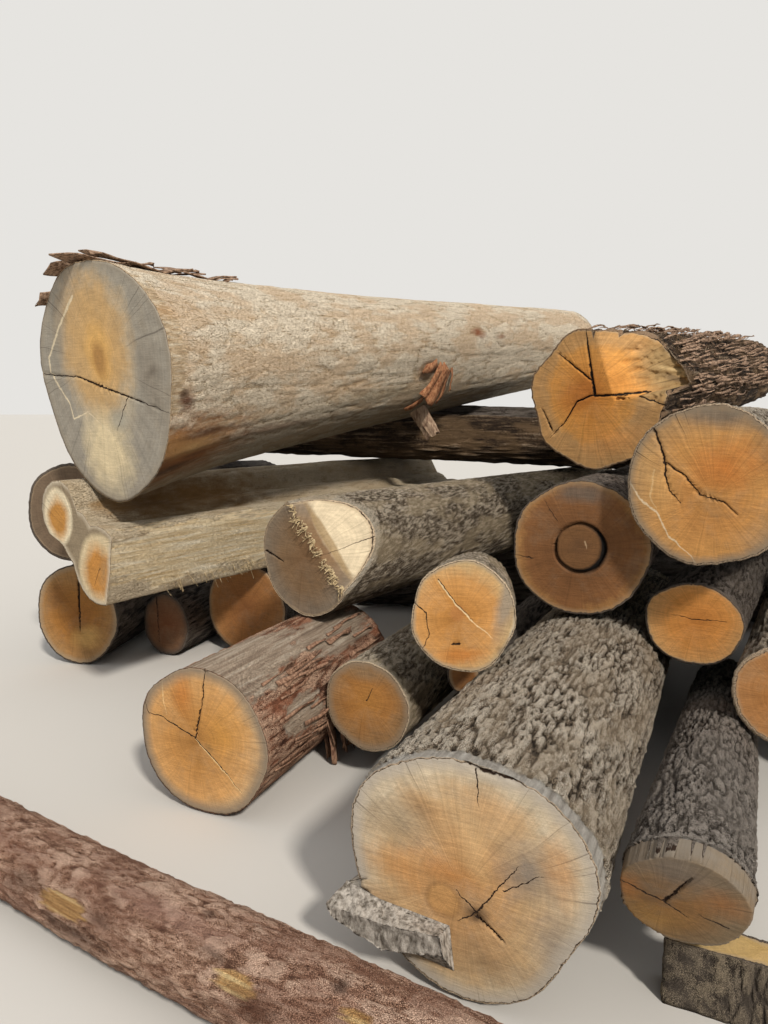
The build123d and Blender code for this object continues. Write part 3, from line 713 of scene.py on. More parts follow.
# The settings of each stem. Lengths are in metres and run back from the face; a turn is in degrees,
# from the right side over the top. In the tuples stand:
# mesh: how many turns, rows along the side and rows on the face
# bare: length, turn, half its length and half its turn, of a place where the bark has gone
# marks in bark: length, turn, half its length, half its width, colour, strength
# marks in face: across, up, half its width, half its height, lean, colour, strength, softness
# cracks and creases: the path from the pith outwards, the width, and a crease's colour
# lumps: length, turn and half sizes of a knob of the CAD stem that has a piece of its own
# rough: across, up, half sizes, lean and depth of torn wood on the face
# slots: distance from the pith, lean and rise of the slope over a slotted face
stems = [
    {"node": "crown_log", "slot": "grey_bark", "mesh": (260, 205, 30), "seed": 1,
     "lumps": [(2.1, -62, 0.16, 13)],
     "bark": dict(paleBark,
         bare=[(0.12, -42, 0.34, 20), (0.0, 18, 0.09, 38), (0.0, -68, 0.1, 30), (2.06, -12, 0.1, 9),
             (2.62, 22, 0.1, 5)], bareDark="a08463", bareTone="cfb592", barePale="e9d8bb",
         marks=[(0.14, -43, 0.5, 0.27, "b9743c", 1.0), (0.22, -38, 0.36, 0.06, "e6b576", 0.95),
             (0.05, -34, 0.17, 0.08, "d69d5e", 0.9), (0.14, -51, 0.42, 0.05, "5e3018", 0.9),
             (0.3, -30.5, 0.3, 0.035, "54291a", 0.9), (0.3, -45, 0.26, 0.02, "7a4324", 0.9),
             (0.1, -11, 0.075, 0.06, "6b3a22", 0.9), (0.08, -8, 0.04, 0.03, "3f2216", 0.9),
             (0.05, 30, 0.1, 0.05, "c59a6a", 0.7), (2.64, 20, 0.12, 0.05, "8e4a26", 0.9),
             (2.06, -12, 0.14, 0.07, "8a5030", 0.8), (2.95, 15, 0.1, 0.03, "8a5230", 0.7),
             (0.75, -40, 0.7, 0.05, "8f6347", 0.6), (1.7, -28, 0.9, 0.06, "7c6c4e", 0.5),
             (0.1, 84, 0.14, 0.12, "3b2a1e", 0.8)]),
     "face": dict(goldFace, sapWidth=0.035, sapShare=0.5, sapTone="ab9e89", sapDark="7d7263",
         barkWidth=0.004, weather=0.35, weatherTone="a3957f", pith=(0.0, 0.1), oval=0.75,
         zones=[(0.0, "bf9866"), (0.4, "c1a881"), (0.75, "b2a58e"), (1.0, "989082")], rayStrength=0.5,
         sawStrength=0.25,
         marks=[(-0.04, 0.17, 0.36, 0.38, 20, "bf9b69", 0.8, 0.35),
             (-0.02, 0.16, 0.27, 0.32, 8, "c79d62", 0.7, 0.9),
             (0.0, 0.12, 0.13, 0.17, 5, "dfae64", 0.7, 0.5),
             (0.0, 0.1, 0.08, 0.11, 5, "a57a45", 0.9, 0.6),
             (-0.03, -0.34, 0.27, 0.24, -10, "dfcba2", 0.85, 0.6),
             (0.4, 0.0, 0.13, 0.26, 15, "877d6e", 0.75, 0.8),
             (0.41, 0.03, 0.08, 0.035, 25, "6a6053", 0.6, 0.9),
             (-0.36, 0.2, 0.08, 0.3, -28, "918878", 0.6, 0.7),
             (0.1, -0.18, 0.1, 0.07, 0, "8f8f86", 0.6, 0.7)],
         creases=[([(-0.166, 0.396), (-0.328, 0.263), (-0.471, 0.119), (-0.473, 0.044), (-0.326, -0.111),
             (-0.307, -0.185), (-0.164, -0.149), (0.02, -0.245)], 0.016, "dccbaa")]),
     "cracks": [([(0.0, -0.03), (-0.213, 0.02), (-0.621, 0.042)], 0.009),
         ([(-0.05, -0.02), (0.188, -0.071), (0.521, -0.148)], 0.008),
         ([(0.205, -0.071), (0.122, -0.177), (0.075, -0.234)], 0.005)]},
    {"node": "split_log", "slot": "grey_bark", "mesh": (200, 90, 54), "seed": 2, "slots": (0.1, 18, 1.5),
     "rough": [(0.3, 0.16, 0.22, 0.17, -14, 0.06)],
     "bark": shaggyBark,
     "face": dict(orangeFace, zones=[(0.0, "b0702f"), (0.5, "c6863f"), (0.85, "ca8f4a"), (1.0, "b68b58")],
         crackTone="140d08", weather=0.2, pith=(-0.02, 0.03), rayStrength=1.0, sapWidth=0.012,
         marks=[(0.34, 0.16, 0.22, 0.19, -10, "957950", 1.0, 0.35),
             (0.36, 0.2, 0.12, 0.05, -25, "67533a", 0.9, 0.6),
             (0.26, 0.22, 0.06, 0.015, -30, "5f4a33", 0.8, 0.8),
             (0.28, 0.13, 0.08, 0.012, -20, "c4a878", 0.8, 0.8),
             (0.3, 0.08, 0.1, 0.02, -25, "6f5a40", 0.8, 0.6),
             (-0.08, 0.04, 0.16, 0.1, 35, "a8632a", 0.6, 0.7),
             (0.1, -0.2, 0.2, 0.1, 10, "d8924c", 0.5, 0.8)]),
     "cracks": [([(0.0, 0.03), (-0.03, 0.2), (-0.05, 0.36)], 0.016),
         ([(0.0, 0.02), (0.2, 0.03), (0.43, -0.05)], 0.012), ([(-0.02, 0.1), (-0.2, 0.24)], 0.01),
         ([(0.0, 0.03), (-0.1, -0.01), (-0.16, -0.11), (-0.25, -0.2)], 0.008),
         ([(-0.24, -0.16), (-0.3, -0.04)], 0.008)]},
    {"node": "stamped_log", "slot": "grey_bark", "mesh": (180, 70, 30), "seed": 3,
     "bark": dict(thickBark, wide=0.034, deep=0.016),
     "face": dict(orangeFace, zones=[(0.0, "a8773f"), (0.35, "b98247"), (0.7, "c08b4e"), (1.0, "ab8558")],
         sapWidth=0.03, sapTone="93846f", sapDark="6f6455", weather=0.3, rayStrength=0.9,
         pith=(0.03, -0.04), checks=0.7,
         marks=[(0.02, 0.27, 0.24, 0.06, -6, "74685a", 0.85, 0.8),
             (0.24, 0.15, 0.12, 0.16, -35, "8a5a32", 0.5, 0.9),
             (0.06, 0.08, 0.15, 0.12, 0, "bf6f2c", 0.6, 0.9),
             (-0.2, 0.02, 0.1, 0.2, 25, "c39a63", 0.55, 0.9),
             (0.22, -0.2, 0.12, 0.14, -40, "8d7a63", 0.6, 0.9)],
         creases=[([(-0.325, 0.037), (-0.249, -0.07), (-0.178, -0.12), (-0.129, -0.203), (-0.041, -0.271),
             (0.013, -0.35)], 0.008, "d8c3a0"), ([(-0.2, 0.05), (-0.21, -0.06), (-0.18, -0.11)],
             0.008, "d0ac78")]),
     "cracks": [
         ([(-0.21, 0.21), (-0.164, 0.102), (-0.156, 0.036), (-0.137, -0.026), (-0.088, -0.073)], 0.009),
         ([(-0.159, 0.082), (-0.08, 0.033), (-0.019, -0.036), (0.069, -0.056), (0.12, -0.1)], 0.006)]},
    {"node": "ring_log", "slot": "furrowed_bark", "mesh": (180, 40, 34), "seed": 4,
     "bark": darkBark,
     # the ring log's sawn end is painted darker overall: painted shade, the shadow the stamped log casts on
     # it
     "face": dict(brownFace, zones=[(0.0, "644428"), (0.4, "6b4729"), (0.8, "7a5230"), (1.0, "9c7344")],
         pith=(0.0, 0.0), sapWidth=0.02, sapTone="b0946f", sapDark="6f6253", sapShare=0.6,
         marks=[(0.0, 0.24, 0.16, 0.06, 0, "62564a", 0.8, 0.7),
             (0.004, -0.003, 0.119, 0.114, 0, "0a0604", 1.0, 0.14),
             (-0.007, 0.005, 0.102, 0.104, 20, "6b4a2c", 1.0, 0.13),
             (0.0, 0.0, 0.06, 0.06, 0, "5f4229", 0.6, 0.6)],
         creases=[([(0.02, 0.03), (0.03, 0.0)], 0.008, "a98d6c")]),
     "cracks": [([(-0.1, 0.11), (-0.16, 0.2)], 0.003), ([(-0.2, -0.06), (-0.29, -0.05)], 0.004)]},
    {"node": "front_log", "slot": "furrowed_bark", "mesh": (300, 212, 30), "seed": 5, "faceStep": 0.06,
     "limit": 0.4, "band": 0.012,
     "bark": dict(thickBark, ragged=0.25, bunch=1.45, deep=0.02, bareDark="9b9186", bareTone="cbc2b5",
         barePale="e6dfd3"),
     "face": dict(paleFace, pith=(-0.01, -0.03), sapWidth=0.035, sapShare=0.9, sapTone="c0b5a5",
         sapDark="91877a", barkWidth=0.0035, rayStrength=0.8, weather=0.35, sawStrength=0.5,
         zones=[(0.0, "ac8150"), (0.35, "ba9061"), (0.7, "bd9e75"), (1.0, "bcab90")],
         marks=[(-0.12, 0.16, 0.1, 0.05, -25, "a87a48", 0.6, 0.9),
             (0.02, 0.09, 0.05, 0.12, 15, "d0ab7a", 0.6, 0.9),
             (0.24, -0.12, 0.1, 0.09, 0, "8a8177", 0.55, 0.9),
             (-0.24, -0.16, 0.08, 0.08, 0, "a0703c", 0.5, 0.9),
             (-0.19, 0.11, 0.12, 0.09, 10, "8f8069", 0.7, 0.9),
             (-0.2, -0.02, 0.14, 0.08, -10, "bd8346", 0.55, 0.9),
             (-0.05, 0.0, 0.13, 0.05, -20, "bb7c40", 0.5, 0.9),
             (0.16, 0.05, 0.1, 0.12, 30, "7b736a", 0.8, 0.9),
             (0.24, 0.1, 0.06, 0.12, 10, "b98550", 0.6, 0.9),
             (0.03, -0.095, 0.045, 0.035, 0, "4d3824", 0.9, 0.8),
             (-0.063, -0.082, 0.056, 0.054, 0, "86623d", 0.7, 0.25),
             (-0.061, -0.081, 0.05, 0.049, 0, "b98b56", 0.95, 0.3),
             (0.05, 0.2, 0.14, 0.07, -10, "bb9468", 0.7, 0.9),
             (0.05, -0.22, 0.2, 0.08, 0, "7e5f40", 0.4, 0.9)]),
     # the first path runs along the gap where the bark has lifted at the upper right; its dark colour there
     # is painted shade in that gap
     "cracks": [([(-0.12, 0.335), (-0.043, 0.333), (0.024, 0.302), (0.115, 0.296), (0.2, 0.297),
         (0.271, 0.265), (0.318, 0.197)][::-1], 0.011), ([(0.03, -0.09), (0.137, 0.068)], 0.004),
         ([(0.03, -0.09), (-0.027, -0.043)], 0.005), ([(0.03, -0.1), (0.11, -0.15)], 0.006),
         ([(0.03, -0.09), (-0.02, -0.13)], 0.005), ([(0.1, -0.01), (0.2, 0.06)], 0.003), ([(0.02, 0.3),
         (0.03, 0.2)], 0.003)]},
    {"node": "furrowed_log", "slot": "furrowed_bark", "mesh": (190, 105, 26), "seed": 6, "band": 0.016,
     "bark": dict(thickBark, wide=0.026, long=0.08, deep=0.014, furrowTone="302923", middleTone="857a6e",
         ridgeTone="b8ada1", patchTone="8f857a", ragged=0.25, bareDark="5b5651", bareTone="9d9790",
         barePale="c2bdb6"),
     "face": dict(brownFace, zones=[(0.0, "7f5a33"), (0.5, "82613c"), (1.0, "7b684f")], weather=0.5,
         sapWidth=0.012, sapTone="8d8273", sapDark="6a6156", weatherTone="6d6254", barkWidth=0.003,
         pith=(-0.04, -0.01), rayStrength=1.0,
         marks=[(-0.02, 0.11, 0.15, 0.1, -10, "73685c", 0.8, 0.9),
             (0.09, 0.02, 0.08, 0.06, -15, "9a6434", 0.6, 0.9),
             (-0.08, -0.09, 0.12, 0.08, 0, "9c763f", 0.6, 0.9),
             (-0.13, 0.02, 0.05, 0.06, 0, "a0652f", 0.6, 0.9)]),
     "cracks": [([(-0.044, -0.011), (0.02, 0.093)], 0.007),
         ([(-0.044, -0.011), (-0.131, 0.022), (-0.169, 0.04)], 0.004),
         ([(-0.044, -0.011), (0.012, -0.052)], 0.004), ([(0.103, -0.055), (0.033, -0.03)], 0.004)]},
    {"node": "peeled_log", "slot": "peeled_wood", "mesh": (180, 80, 26), "seed": 7,
     "bark": dict(peeledBark, bare=[(0.15, 80, 0.45, 38), (0.8, 60, 0.35, 22), (0.3, 10, 0.16, 16)]),
     "face": dict(goldFace, sapTone="8d7f6c", sapDark="77695a", sapWidth=0.04, sapShare=0.85,
         barkWidth=0.002, pith=(-0.03, 0.0),
         zones=[(0.0, "a0703a"), (0.4, "ba864a"), (0.75, "c8975e"), (1.0, "bd9d74")],
         marks=[(-0.09, 0.17, 0.06, 0.12, 5, "b4702f", 0.7, 0.8),
             (0.03, -0.02, 0.03, 0.02, -40, "76603f", 0.6, 0.9),
             (0.1, 0.05, 0.12, 0.15, 0, "c78f42", 0.5, 0.9)],
         creases=[([(-0.182, 0.27), (-0.182, 0.139), (-0.165, 0.077)], 0.006, "e0bd85"),
             ([(-0.03, 0.004), (0.043, -0.058), (0.119, -0.118), (0.171, -0.175)], 0.008, "e3c48e")]),
     "cracks": [([(-0.034, 0.008), (0.004, 0.17), (0.022, 0.31)], 0.006),
         ([(-0.034, 0.008), (-0.185, 0.065), (-0.254, 0.07), (-0.272, 0.116)], 0.005),
         ([(-0.034, 0.008), (0.043, -0.054), (0.119, -0.114), (0.171, -0.171)], 0.004)]},
    {"node": "notched_log", "slot": "grey_bark", "mesh": (210, 120, 44), "seed": 8, "crease": ridgeCut,
     "bark": grainyBark,
     # painted light and shade: the zones paint the notched log's left cut dark as in shade, and the pale
     # first mark paints the sunlit facet
     "face": dict(brownFace, zones=[(0.0, "77593c"), (0.6, "7d6347"), (1.0, "7d6e5c")], weather=0.4,
         sapWidth=0.012, barkWidth=0.004, rayStrength=0.8, sawStrength=0.5,
         marks=[(0.33, 0.27, 0.318, 0.7, 41, "c8b697", 1.0, 0.06),
             (0.3, 0.3, 0.1, 0.16, 41, "b59f7c", 0.6, 0.9),
             (0.095, 0.083, 0.014, 0.26, 41, "8f7651", 0.8, 0.4)]),
     "cracks": [([(0.24, 0.1), (0.1, 0.02)], 0.003), ([(-0.26, 0.0), (-0.14, -0.04)], 0.012)]},
    {"node": "twin_stem_log", "slot": "grey_bark", "mesh": (200, 86, 24), "seed": 9,
     "bark": dict(paleBark, middleTone="ab9779", ridgeTone="ccba9d", patchTone="b39a77",
         bare=[(0.7, -14, 0.95, 36)], bareDark="d0b080", bareTone="e9d2a9", barePale="f4e6ca",
         downShadeTone=None,
         marks=[(0.75, 103, 0.66, 0.18, "9c7646", 0.95), (0.4, 88, 0.4, 0.14, "8a663a", 0.85),
             (0.95, 70, 0.3, 0.05, "7a5a34", 0.7), (0.2, 96, 0.16, 0.07, "b98f57", 0.7)]),
     "face": dict(orangeFace, zones=[(0.0, "b88448"), (1.0, "b9925f")], weather=0.2, barkWidth=0.003,
         sapTone="ddd0b8", sapDark="8d7a60", sapWidth=0.028, sapShare=0.9,
         marks=[(0.0, 0.03, 0.5, 0.5, 0, "8a7a62", 1.0, 0.1),
             (-0.2, 0.12, 0.135, 0.155, 10, "d8c8a8", 1.0, 0.15),
             (-0.2, 0.11, 0.105, 0.125, 10, "b4803f", 1.0, 0.45),
             (0.14, -0.115, 0.185, 0.195, 0, "cdb994", 1.0, 0.15),
             (0.13, -0.12, 0.145, 0.16, 0, "b9813f", 1.0, 0.45),
             (0.17, -0.11, 0.05, 0.13, -8, "9a7d58", 0.6, 0.9)]),
     "cracks": [([(0.14, -0.1), (0.08, -0.2)], 0.003)]},
    {"node": "middle_log", "slot": "peeled_wood", "mesh": (180, 36, 28), "seed": 10,
     "bark": dict(grainyBark, bare=[(0.1, -8, 0.32, 32)], bareDark="968976", bareTone="bfb49f",
         barePale="d3cab8"),
     "face": dict(orangeFace, zones=[(0.0, "9f6b32"), (0.35, "b17c40"), (0.7, "bb884e"), (1.0, "b2966b")],
         pith=(-0.02, -0.01), sapTone="a8987f", sapDark="7f7261", sapWidth=0.014, barkWidth=0.005,
         marks=[(0.155, 0.05, 0.045, 0.17, -12, "8d8170", 0.85, 0.7),
             (0.205, -0.02, 0.035, 0.17, -14, "d0c4ac", 0.95, 0.5),
             (-0.02, 0.01, 0.03, 0.035, 0, "a66f3d", 0.7, 0.3),
             (0.0, -0.14, 0.11, 0.035, 5, "b26a28", 0.6, 0.8),
             (0.15, -0.12, 0.035, 0.03, 0, "4e4133", 0.8, 0.8)],
         creases=[([(-0.093, 0.124), (-0.03, 0.043), (0.037, -0.019), (0.11, -0.073)], 0.006, "dfc69a")]),
     "cracks": [([(-0.194, 0.057), (-0.134, 0.005), (-0.121, -0.082), (-0.153, -0.142)], 0.004),
         ([(-0.093, 0.13), (-0.03, 0.049), (0.037, -0.013)], 0.003),
         ([(-0.01, -0.1), (-0.04, -0.104)], 0.01)]},
    {"node": "low_middle_log", "slot": "furrowed_bark", "mesh": (150, 50, 20), "seed": 11,
     "bark": dict(grainyBark, wide=0.03, long=0.08, deep=0.01),
     "face": dict(orangeFace, zones=[(0.0, "b07a3c"), (0.5, "a4713b"), (1.0, "8c6e4c")], sapWidth=0.03,
         sapTone="8e7c67", pith=(0.0, 0.02), rayStrength=1.0,
         marks=[(0.0, 0.14, 0.14, 0.05, 0, "8b7356", 0.7, 0.8)]),
     "cracks": [([(0.0, 0.02), (0.03, 0.08)], 0.004)]},
    {"node": "small_right_log", "slot": "furrowed_bark", "mesh": (150, 44, 22), "seed": 12,
     "bark": darkBark,
     "face": dict(goldFace, zones=[(0.0, "b97737"), (0.6, "ca8945"), (1.0, "c4935b")], pith=(0.02, 0.02),
         weather=0.15, sapWidth=0.012, checks=0.7),
     "cracks": [([(0.0, 0.02), (0.13, 0.03)], 0.004), ([(0.0, 0.02), (-0.09, 0.03)], 0.003)]},
    {"node": "right_edge_log", "slot": "furrowed_bark", "mesh": (130, 40, 14), "seed": 13,
     "bark": thickBark,
     "face": dict(orangeFace, barkWidth=0.014, zones=[(0.0, "a36b33"), (1.0, "a7774a")])},
    {"node": "behind_twin_log", "slot": "dark_bark", "mesh": (110, 36, 12), "seed": 14,
     "bark": darkBark,
     "face": dict(brownFace, barkWidth=0.014, zones=[(0.0, "5f4a38"), (1.0, "6b5a48")])},
    {"node": "low_left_log", "slot": "dark_bark", "mesh": (140, 36, 20), "seed": 15,
     "bark": darkBark,
     "face": dict(brownFace, zones=[(0.0, "8a5a2a"), (0.5, "93642f"), (1.0, "97754c")], sapTone="a08c70",
         sapWidth=0.03,
         # painted light and shade: the pale lower mark paints the sunlit lower part of the face, and the
         # dark upper-left mark paints the shadow of the twin stem log above
         marks=[(0.06, -0.13, 0.13, 0.09, 20, "c09a5c", 0.7, 0.8),
             (-0.12, 0.1, 0.1, 0.12, 0, "7b4f26", 0.6, 0.9)]),
     "cracks": [([(0.013, -0.1), (0.016, 0.08), (0.02, 0.27)][::-1], 0.015)]},
    {"node": "small_left_log", "slot": "dark_bark", "mesh": (120, 32, 14), "seed": 16,
     "bark": darkBark,
     "face": dict(brownFace, zones=[(0.0, "70452a"), (1.0, "6d5039")], sapWidth=0.03, sapTone="554a40",
         sapDark="3d352e"),
     "cracks": [([(-0.057, -0.12), (-0.06, 0.02), (-0.066, 0.17)][::-1], 0.007)]},
]

# stems of which little or nothing is seen
for node, slot, mesh, seed, bark, face in (
        ("shaded_log", "dark_bark", (90, 26, 8), 17, darkBark, brownFace),
        ("prop_log", "dark_bark", (80, 28, 8), 18, darkBark, brownFace),
        ("cross_log", "dark_bark", (110, 56, 8), 19, darkBark, brownFace),
        ("right_ground_log", "dark_bark", (110, 52, 8), 20, darkBark, brownFace),
        ("right_upper_log", "grey_bark", (110, 44, 10), 21, thickBark, orangeFace),
        ("jammed_log", "dark_bark", (80, 30, 8), 22, darkBark, brownFace),
        ("rear_log", "flaky_bark", (110, 70, 8), 23, shaggyBark, brownFace),
        ("back_log", "dark_bark", (110, 60, 8), 26, darkBark, brownFace)):
    stems.append({"node": node, "slot": slot, "mesh": mesh, "seed": seed, "bark": bark, "face": face})

stems += [
    {"node": "foreground_log", "slot": "flaky_bark", "mesh": (145, 215, 8), "seed": 24,
     "bark": dict(flakyBark, bunch=1.0,
         bare=[(1.53, 165, 0.1, 15), (0.88, 148, 0.06, 9), (2.9, 100, 0.18, 20), (3.3, 60, 0.12, 20),
             (1.9, 20, 0.5, 22), (0.55, 126, 0.04, 6)],
         marks=[(1.5, 190, 0.24, 0.035, "3f261b", 0.85), (1.72, 160, 0.13, 0.05, "4a2c1e", 0.85),
             (1.36, 156, 0.06, 0.03, "4f2f20", 0.75), (0.95, 134, 0.16, 0.025, "482a1d", 0.8),
             (0.8, 162, 0.12, 0.05, "5a3625", 0.7), (1.15, 118, 0.3, 0.05, "b98f7c", 0.6),
             (0.62, 110, 0.03, 0.025, "3a241a", 0.9), (1.05, 100, 0.03, 0.022, "3a241a", 0.9),
             (1.95, 128, 0.5, 0.06, "8b5a45", 0.6), (2.2, 30, 0.5, 0.07, "6f4f3c", 0.7)]),
     "face": brownFace},
    {"node": "standing_billet", "slot": "sawn_wood", "mesh": (140, 24, 18), "seed": 25,
     "axis": (0, 0, -1),
     "bark": dict(darkBark, deep=0.01, wide=0.03, long=0.12, swell=0.0, ragged=0.6, ridgeTone="a4947c"),
     "face": dict(goldFace, zones=[(0.0, "b9985f"), (1.0, "c2a571")], barkWidth=0.008)},
]

meshShare = 1.0
triangles = 0
found = {}


def settle(piece, node, materials):
    for material in materials:
        piece.data.materials.append(material)
    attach(piece, "root")
    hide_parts(node)
    shape = piece.evaluated_get(bpy.context.evaluated_depsgraph_get()).to_mesh()
    count = sum(len(p.vertices) - 2 for p in shape.polygons)
    print(piece.name, count, "triangles")
    return count


for settings in stems:
    stem = readStem(settings["node"], settings.get("axis"), settings.get("faceStep", 0.0))
    found[settings["node"]] = stem
    look = dict(settings["bark"], **settings)
    look["mesh"] = [max(8, int(count * meshShare)) for count in settings["mesh"]]
    look["face"] = dict(look["face"], radius=stem["radius"] * 1.05)
    piece = buildStem(settings["node"] + "_look", stem, look)
    made = [barkMaterial(settings["node"] + " bark", stem, look),
            faceMaterial(settings["node"] + " sawn end", stem, look)]
    triangles += settle(piece, settings["node"], made)
print("stems made:", triangles, "triangles")


# a thin tapering shred from start to end, bowed and a little crumpled
def addShred(bm, start, end, across, width, bow, seed, rows=6, taper=0.7):
    lowest = 0.006
    made = bmesh.ops.create_grid(bm, x_segments=2, y_segments=rows, size=0.5)
    span = (end - start).length
    for v in made["verts"]:
        t, k = v.co.y + 0.5, v.co.x
        crumple = noise.noise_vector(Vector((seed * 3.1, t * 2.5, k))) * span * 0.10 * t
        side = across * (k * width * (1 - taper * t))
        v.co = start.lerp(end, t) + bow * (4 * t * (1 - t)) + crumple + side
        v.co.z = max(v.co.z, lowest)


def finishShreds(bm, name, thickness, node, material):
    for f in bm.faces:
        f.smooth = True
    piece = finishMesh(bm, name)
    shell = piece.modifiers.new("shell", "SOLIDIFY")
    shell.thickness = thickness
    shell.offset = 0.0
    return settle(piece, node, [material])


# shreds laid on a stem, some placed one by one and some scattered between two places
def shredStem(shred):
    stem = found[shred["node"]]
    bm = bmesh.new()
    for group in shred["groups"]:
        for s0, turn0, out0, s1, turn1, out1, wide, bow in group.get("placed", []):
            start, end = spotOn(stem, s0, turn0, out0), spotOn(stem, s1, turn1, out1)
            out = (start - stem["origin"] - stem["along"] * s0).normalized()
            across = (end - start).cross(out).normalized()
            addShred(bm, start, end, across, wide, out * bow, s0 * 9 + turn0, 12, 0.35)
        for _ in range(int(group.get("count", 0) * (1))):
            s = random.uniform(*group["s"])
            turn = random.uniform(*group["turn"])
            long = random.uniform(*group["long"])
            start = spotOn(stem, s, turn, -0.004)
            way = stem["along"] * (group["way"] * long)
            endTurn = turn + random.uniform(-1, 1) * group.get("stray", 4)
            end = spotOn(stem, s, endTurn, random.uniform(*group["out"])) + way
            end.z -= group.get("hang", 0.0) * long
            out = (start - stem["origin"] - stem["along"] * s).normalized()
            across = stem["along"].cross(out) if abs(group["way"]) > 0.3 else stem["along"]
            bow = out * long * random.uniform(0.0, group.get("bow", 0.15))
            wide = random.uniform(*group["wide"])
            addShred(bm, start, end, across.normalized(), wide, bow, s * 7 + turn)
    return finishShreds(bm, shred["name"], shred["thick"], shred["node"], shred["material"])


barkShred = shredMaterial("torn bark", "513b2a", "ad9078")
redShred = shredMaterial("torn inner bark", "6f3f27", "b07f5a")
peelingShred = shredMaterial("peeling bark", "5e4030", "a8856c", (90, 90, 30))
paleShred = shredMaterial("torn fibres", "8c7554", "cdb78f")

# a placed shred: where it starts (length, turn, how far out), where it ends, its width and bow
shreds = [
    {"name": "crown_flaps", "node": "crown_log", "slot": "grey_bark", "material": barkShred,
     "thick": 0.006,
     "groups": [
         {"placed": [(0.34, 98, -0.012, -0.1, 104, 0.03, 0.17, 0.02),
              (0.36, 84, -0.012, -0.02, 86, 0.015, 0.12, 0.015),
              (0.3, 112, -0.014, -0.05, 116, 0.02, 0.13, 0.02),
              (0.24, 134, -0.012, -0.03, 138, 0.02, 0.12, 0.02),
              (0.62, 80, -0.012, 0.3, 79, 0.012, 0.08, 0.01)]},
         {"count": 10, "s": (0.1, 0.75), "turn": (70, 95), "long": (0.08, 0.2), "way": 1.0,
          "out": (0.002, 0.01), "wide": (0.02, 0.05), "bow": 0.1}]},
    {"name": "crown_torn_branch", "node": "crown_log", "slot": "grey_bark", "material": redShred,
     "thick": 0.003,
     "groups": [
         {"placed": [(2.24, -10, -0.006, 2.06, -40, 0.04, 0.1, 0.012),
              (2.18, -8, -0.006, 1.98, -34, 0.03, 0.06, 0.01),
              (2.12, -6, -0.006, 1.94, -11, 0.025, 0.06, 0.006),
              (2.28, -14, -0.004, 2.22, -46, 0.02, 0.035, 0.01),
              (2.04, -38, 0.01, 1.92, -50, 0.0, 0.05, 0.01),
              (2.3, -12, -0.004, 2.3, -34, 0.03, 0.02, 0.01)]}]},
    {"name": "split_shreds", "node": "split_log", "slot": "grey_bark", "material": barkShred,
     "thick": 0.002,
     "groups": [
         {"count": 330, "s": (0.1, 2.2), "turn": (-15, 125), "long": (0.12, 0.34), "way": 1.0,
          "out": (0.0, 0.014), "wide": (0.004, 0.013), "stray": 3, "bow": 0.05},
         {"count": 45, "s": (0.2, 1.3), "turn": (0, 80), "long": (0.08, 0.2), "way": 0.6,
          "out": (0.002, 0.014), "wide": (0.003, 0.008), "stray": 4, "hang": 0.5, "bow": 0.08}]},
    {"name": "peeled_shreds", "node": "peeled_log", "slot": "peeled_wood", "material": peelingShred,
     "thick": 0.003,
     "groups": [
         {"count": 16, "s": (0.45, 1.05), "turn": (-40, 0), "long": (0.12, 0.24), "way": 0.15,
          "out": (0.0, 0.012), "wide": (0.02, 0.07), "hang": 0.9, "bow": 0.05},
         {"count": 44, "s": (0.08, 0.9), "turn": (-20, 60), "long": (0.12, 0.32), "way": 1.0,
          "out": (0.001, 0.008), "wide": (0.008, 0.026), "stray": 2, "bow": 0.04}]},
    {"name": "twin_fibres", "node": "twin_stem_log", "slot": "grey_bark", "material": paleShred,
     "thick": 0.001,
     "groups": [
         {"count": 45, "s": (0.25, 1.1), "turn": (-52, -40), "long": (0.02, 0.08), "way": 0.5,
          "out": (0.0, 0.012), "wide": (0.0012, 0.003), "hang": 0.8, "bow": 0.3, "stray": 5}]},
]
for shred in shreds:
    triangles += shredStem(shred)

# torn fibres along the ridge between the notched log's two saw cuts
notched = found["notched_log"]
lean = math.radians(ridgeCut["lean"])
ridgeWay = notched["up"] * math.cos(lean) - notched["right"] * math.sin(lean)
ridgeOut = notched["right"] * math.cos(lean) + notched["up"] * math.sin(lean)
bm = bmesh.new()
for k in range(ridgeCut["fibres"]):
    t = random.uniform(-ridgeCut["half"], ridgeCut["half"])
    t += 0.03 * noise.noise(Vector((t * 40, 0, 0)))
    start = notched["origin"] + ridgeOut * (ridgeCut["at"] - random.uniform(-0.004, 0.034)) + ridgeWay * t
    long = random.uniform(0.010, 0.024) + 0.03 * random.random() ** 3
    way = notched["along"] * -random.uniform(0.1, 1.0) - ridgeOut * random.uniform(0.0, 1.2)
    way = way + ridgeWay * random.uniform(-1.2, 1.2)
    end = start + way.normalized() * long
    addShred(bm, start, end, ridgeWay, random.uniform(0.003, 0.010), -ridgeOut * long * 0.2, k * 1.7, 4)
triangles += finishShreds(bm, "notch_fibres", 0.002, "notched_log", paleShred)

# the stub of the torn branch, splintered where it broke
stub = {
    "s": 2.08,
    "turn": -62,
    "lean": 12,
    "root": 0.056,
    "tip": 0.040,
    "long": 0.30,
    "flat": (0.72, 1.15),
    "groove": 0.012,
    "splinter": 0.035,
}
crown = found["crown_log"]
a, lean = math.radians(stub["turn"]), math.radians(stub["lean"])
stubWay = crown["right"] * math.cos(a) + crown["up"] * math.sin(a)
stubWay = stubWay * math.cos(lean) + crown["along"] * math.sin(lean)
stubAxis = crown["origin"] + crown["along"] * stub["s"]
stubTip = crown["tree"].ray_cast(stubAxis + stubWay * 1.6, -stubWay)[0]
bm = bmesh.new()
bmesh.ops.create_cone(bm, segments=26, radius1=stub["root"], radius2=stub["tip"], depth=stub["long"],
                      cap_ends=True)
sides = [e for e in bm.edges if abs(e.verts[0].co.z - e.verts[1].co.z) > 0.1]
